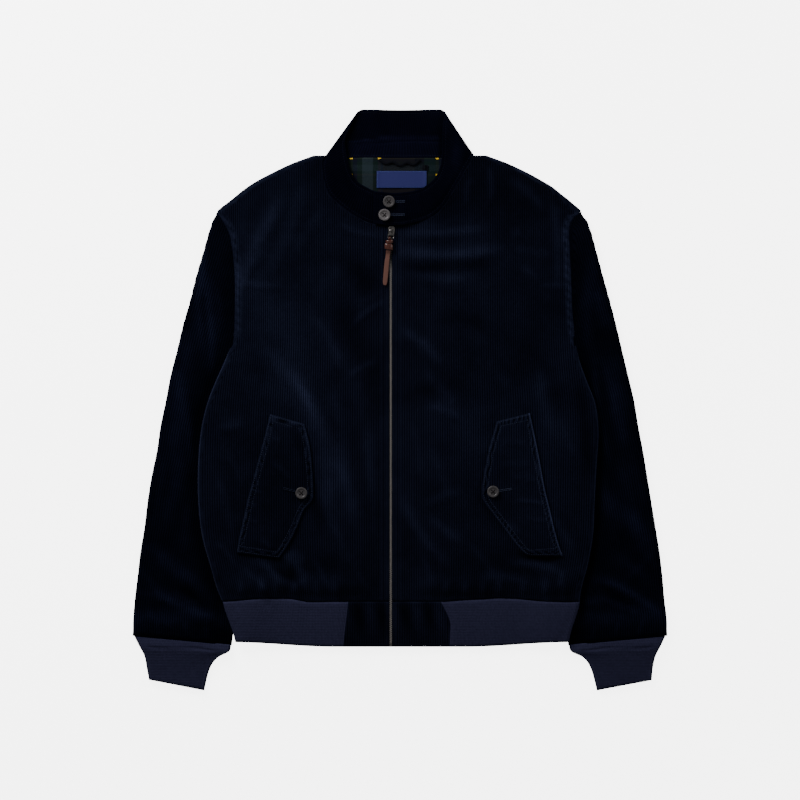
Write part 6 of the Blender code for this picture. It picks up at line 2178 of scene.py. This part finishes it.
def on_label(x, y):
    return LABEL_LOW + 0.62 + 0.3 * np.sin(math.pi * (x - left) / (right - left)) ** 2


label_stitching = sewn_lines("label_stitching", [lifted(corners + corners[:1], on_label)], label_thread,
                             step=2.0, long=1.4, wide=0.35, high=0.25)

# %% [markdown]
# ## Finishes of the imported parts that stay
# Buttons, slider and bail are hard and already have their true shape, so they stay as packed and only get
# their finish. Everything soft has been made again, and the imported node that each new piece stands for is
# hidden.

# %% Imported parts
for label, finishing in KEPT.items():
    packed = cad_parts[label]
    packed.data.materials.clear()
    packed.data.materials.append(finishing)

# piece, material slot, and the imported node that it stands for
DRESSED = [
    (front_left, "corduroy", "front_left"),
    (front_right, "corduroy", "front_right"),
    (back, "corduroy", "back"),
    (sleeve_left, "corduroy", "sleeve_left"),
    (sleeve_right, "corduroy", "sleeve_right"),
    (collar_piece, "corduroy", "collar"),
    (flap_left, "corduroy", "pocket_flap_left"),
    (flap_right, "corduroy", "pocket_flap_right"),
    (panel_left, "corduroy", "hem_panel_left"),
    (panel_right, "corduroy", "hem_panel_right"),
    (band, "rib_knit", "hem_band"),
    (cuff_left, "rib_knit", "cuff_left"),
    (cuff_right, "rib_knit", "cuff_right"),
    (neck_lining, "tartan_lining", "neck_lining"),
    (neck_label, "label_blue", "neck_label"),
    (size_tab, "label_blue", "size_tab"),
    (hanger, "loop_tape", "hanger_loop"),
    (tapes[0], "zip_tape", "zip_tape_left"),
    (tapes[1], "zip_tape", "zip_tape_right"),
    (teeth, "zip_metal", "zip_chain"),
    (topstitching, "corduroy", None),
    (flap_stitching, "corduroy", None),
    (collar_stitching, "corduroy", None),
    (buttonholes, "corduroy", None),
    (threads, "corduroy", None),
    (label_stitching, "label_blue", None),
    (zip_cord, "zip_tape", None),
    (zip_stops, "zip_metal", None),
    (pull_leather, "leather", "pull_leather"),
]
for piece, slot, label in DRESSED:
    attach(piece, "pull" if slot == "leather" else "jacket")
    if label:
        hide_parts(label)

# %% [markdown]
# ## The cut of the cloth
# Each piece of cloth is printed with the size it was cut to, so that anyone who cuts it again knows how much
# it takes. A tube is measured all round, and a curved panel has less area than the rectangle it is cut from.

# %% Flat sizes
# piece, width, length in metres, area in square metres, what it rests on, pieces on it
CUT = [
    (back, 0.560, 0.605, area_back, ["sleeve_left", "sleeve_right"], []),
    (front_left, 0.275, 0.615, area_left, [back, sleeve_left], [topstitching]),
    (front_right, 0.300, 0.615, area_right, [back, sleeve_right], []),
    (sleeve_left, 0.330, 0.620, area_sleeve_left, [], []),
    (sleeve_right, 0.330, 0.620, area_sleeve_right, [], []),
    (collar_piece, 0.560, 0.075, area_collar, [back, front_left, front_right],
     [collar_stitching, buttonholes]),
    (flap_left, 0.112, 0.200, None, [front_left], [flap_stitching]),
    (flap_right, 0.112, 0.200, None, [front_right], []),
    (panel_left, 0.061, 0.061, None, [band], []),
    (panel_right, 0.077, 0.061, None, [band], []),
    (band, 0.860, 0.062, None, [sleeve_left, sleeve_right], []),
    (cuff_left, 0.226, 0.062, None, [], []),
    (cuff_right, 0.226, 0.062, None, [], []),
    (neck_lining, 0.146, 0.053, None, [back], []),
    (neck_label, 0.0675, 0.023, None, [neck_lining], [label_stitching]),
    (tapes[0], 0.0143, 0.569, None, [back], []),
    (tapes[1], 0.0143, 0.569, None, [back], []),
]
for piece, width, length, area, under, on_it in CUT:
    # a piece without a measured area takes half of its closed surface, with its ridges
    flat = area or sum(face.area for face in piece.data.polygons) / 2
    print(piece.name, "cut", round(width * 1000), "x", round(length * 1000), "mm, area share",
          round(flat / (width * length), 3))
    flat = min(flat, width * length)

# %% [markdown]
# ## Table, light and camera
# The jacket lies on a pale table and is seen straight from above, as in the photograph. A long lens from far
# away keeps the outline free of perspective. Dark cloth needs light from the side to show its folds, so one
# large soft lamp stands low at the upper left, a weaker one on the right, and a pale sky fills the rest. The
# table glows a little towards the camera only, as a light box does, so it is near white and yet throws no
# light of its own on the cloth.

# %% Table
FLOOR_GLOW = 5.0
floor_finish, floor_tree, floor_shader = finish(
    "table", 0.9, Specular_IOR_Level=0.0, Base_Color=(0.93, 0.93, 0.93, 1.0),
    Emission_Color=(1.0, 1.0, 1.0, 1.0))
seen_first = node(floor_tree, "ShaderNodeLightPath").outputs["Is Camera Ray"]
fed(floor_tree, floor_shader, {"Emission Strength": sums(floor_tree, "MULTIPLY", seen_first, FLOOR_GLOW)})
floor = boxes("table", [((-3000.0, -3000.0, -20.0), (3000.0, 3000.0, -0.3))], floor_finish)


# %% Lamps
def placed_object(name, data, place):
    """A lamp or a camera in the scene. Metres."""
    made = bpy.data.objects.new(name, data)
    made.location = place
    bpy.context.scene.collection.objects.link(made)
    return made


def lamp(name, place, size, power):
    """A square soft lamp turned to the middle of the jacket. Metres and watts."""
    light = bpy.data.lights.new(name, "AREA")
    light.shape = "SQUARE"
    light.size = size
    light.energy = power
    x, y, z = place
    placed_object(name, light, place).rotation_euler = (
        math.atan2(math.hypot(x, y), z), 0.0, math.atan2(-x, y) + math.pi)


lamp("key", (-1.15, 1.5, 1.0), 0.9, 73.0)
lamp("side", (1.7, 0.9, 0.9), 0.9, 18.0)
world = bpy.data.worlds.new("studio")
world.use_nodes = True
sky = world.node_tree.nodes["Background"].inputs
sky["Color"].default_value = (1.0, 1.0, 1.0, 1.0)
sky["Strength"].default_value = 0.3
bpy.context.scene.world = world

# %% Camera
PICTURE = 1.080          # width of the picture on the table, metres
DISTANCE = 8.0
camera = bpy.data.cameras.new("camera")
camera.sensor_width = 36.0
camera.lens = 36.0 * DISTANCE / PICTURE
camera.clip_end = 30.0
bpy.context.scene.camera = placed_object("camera", camera, (0.0, 0.0, DISTANCE))
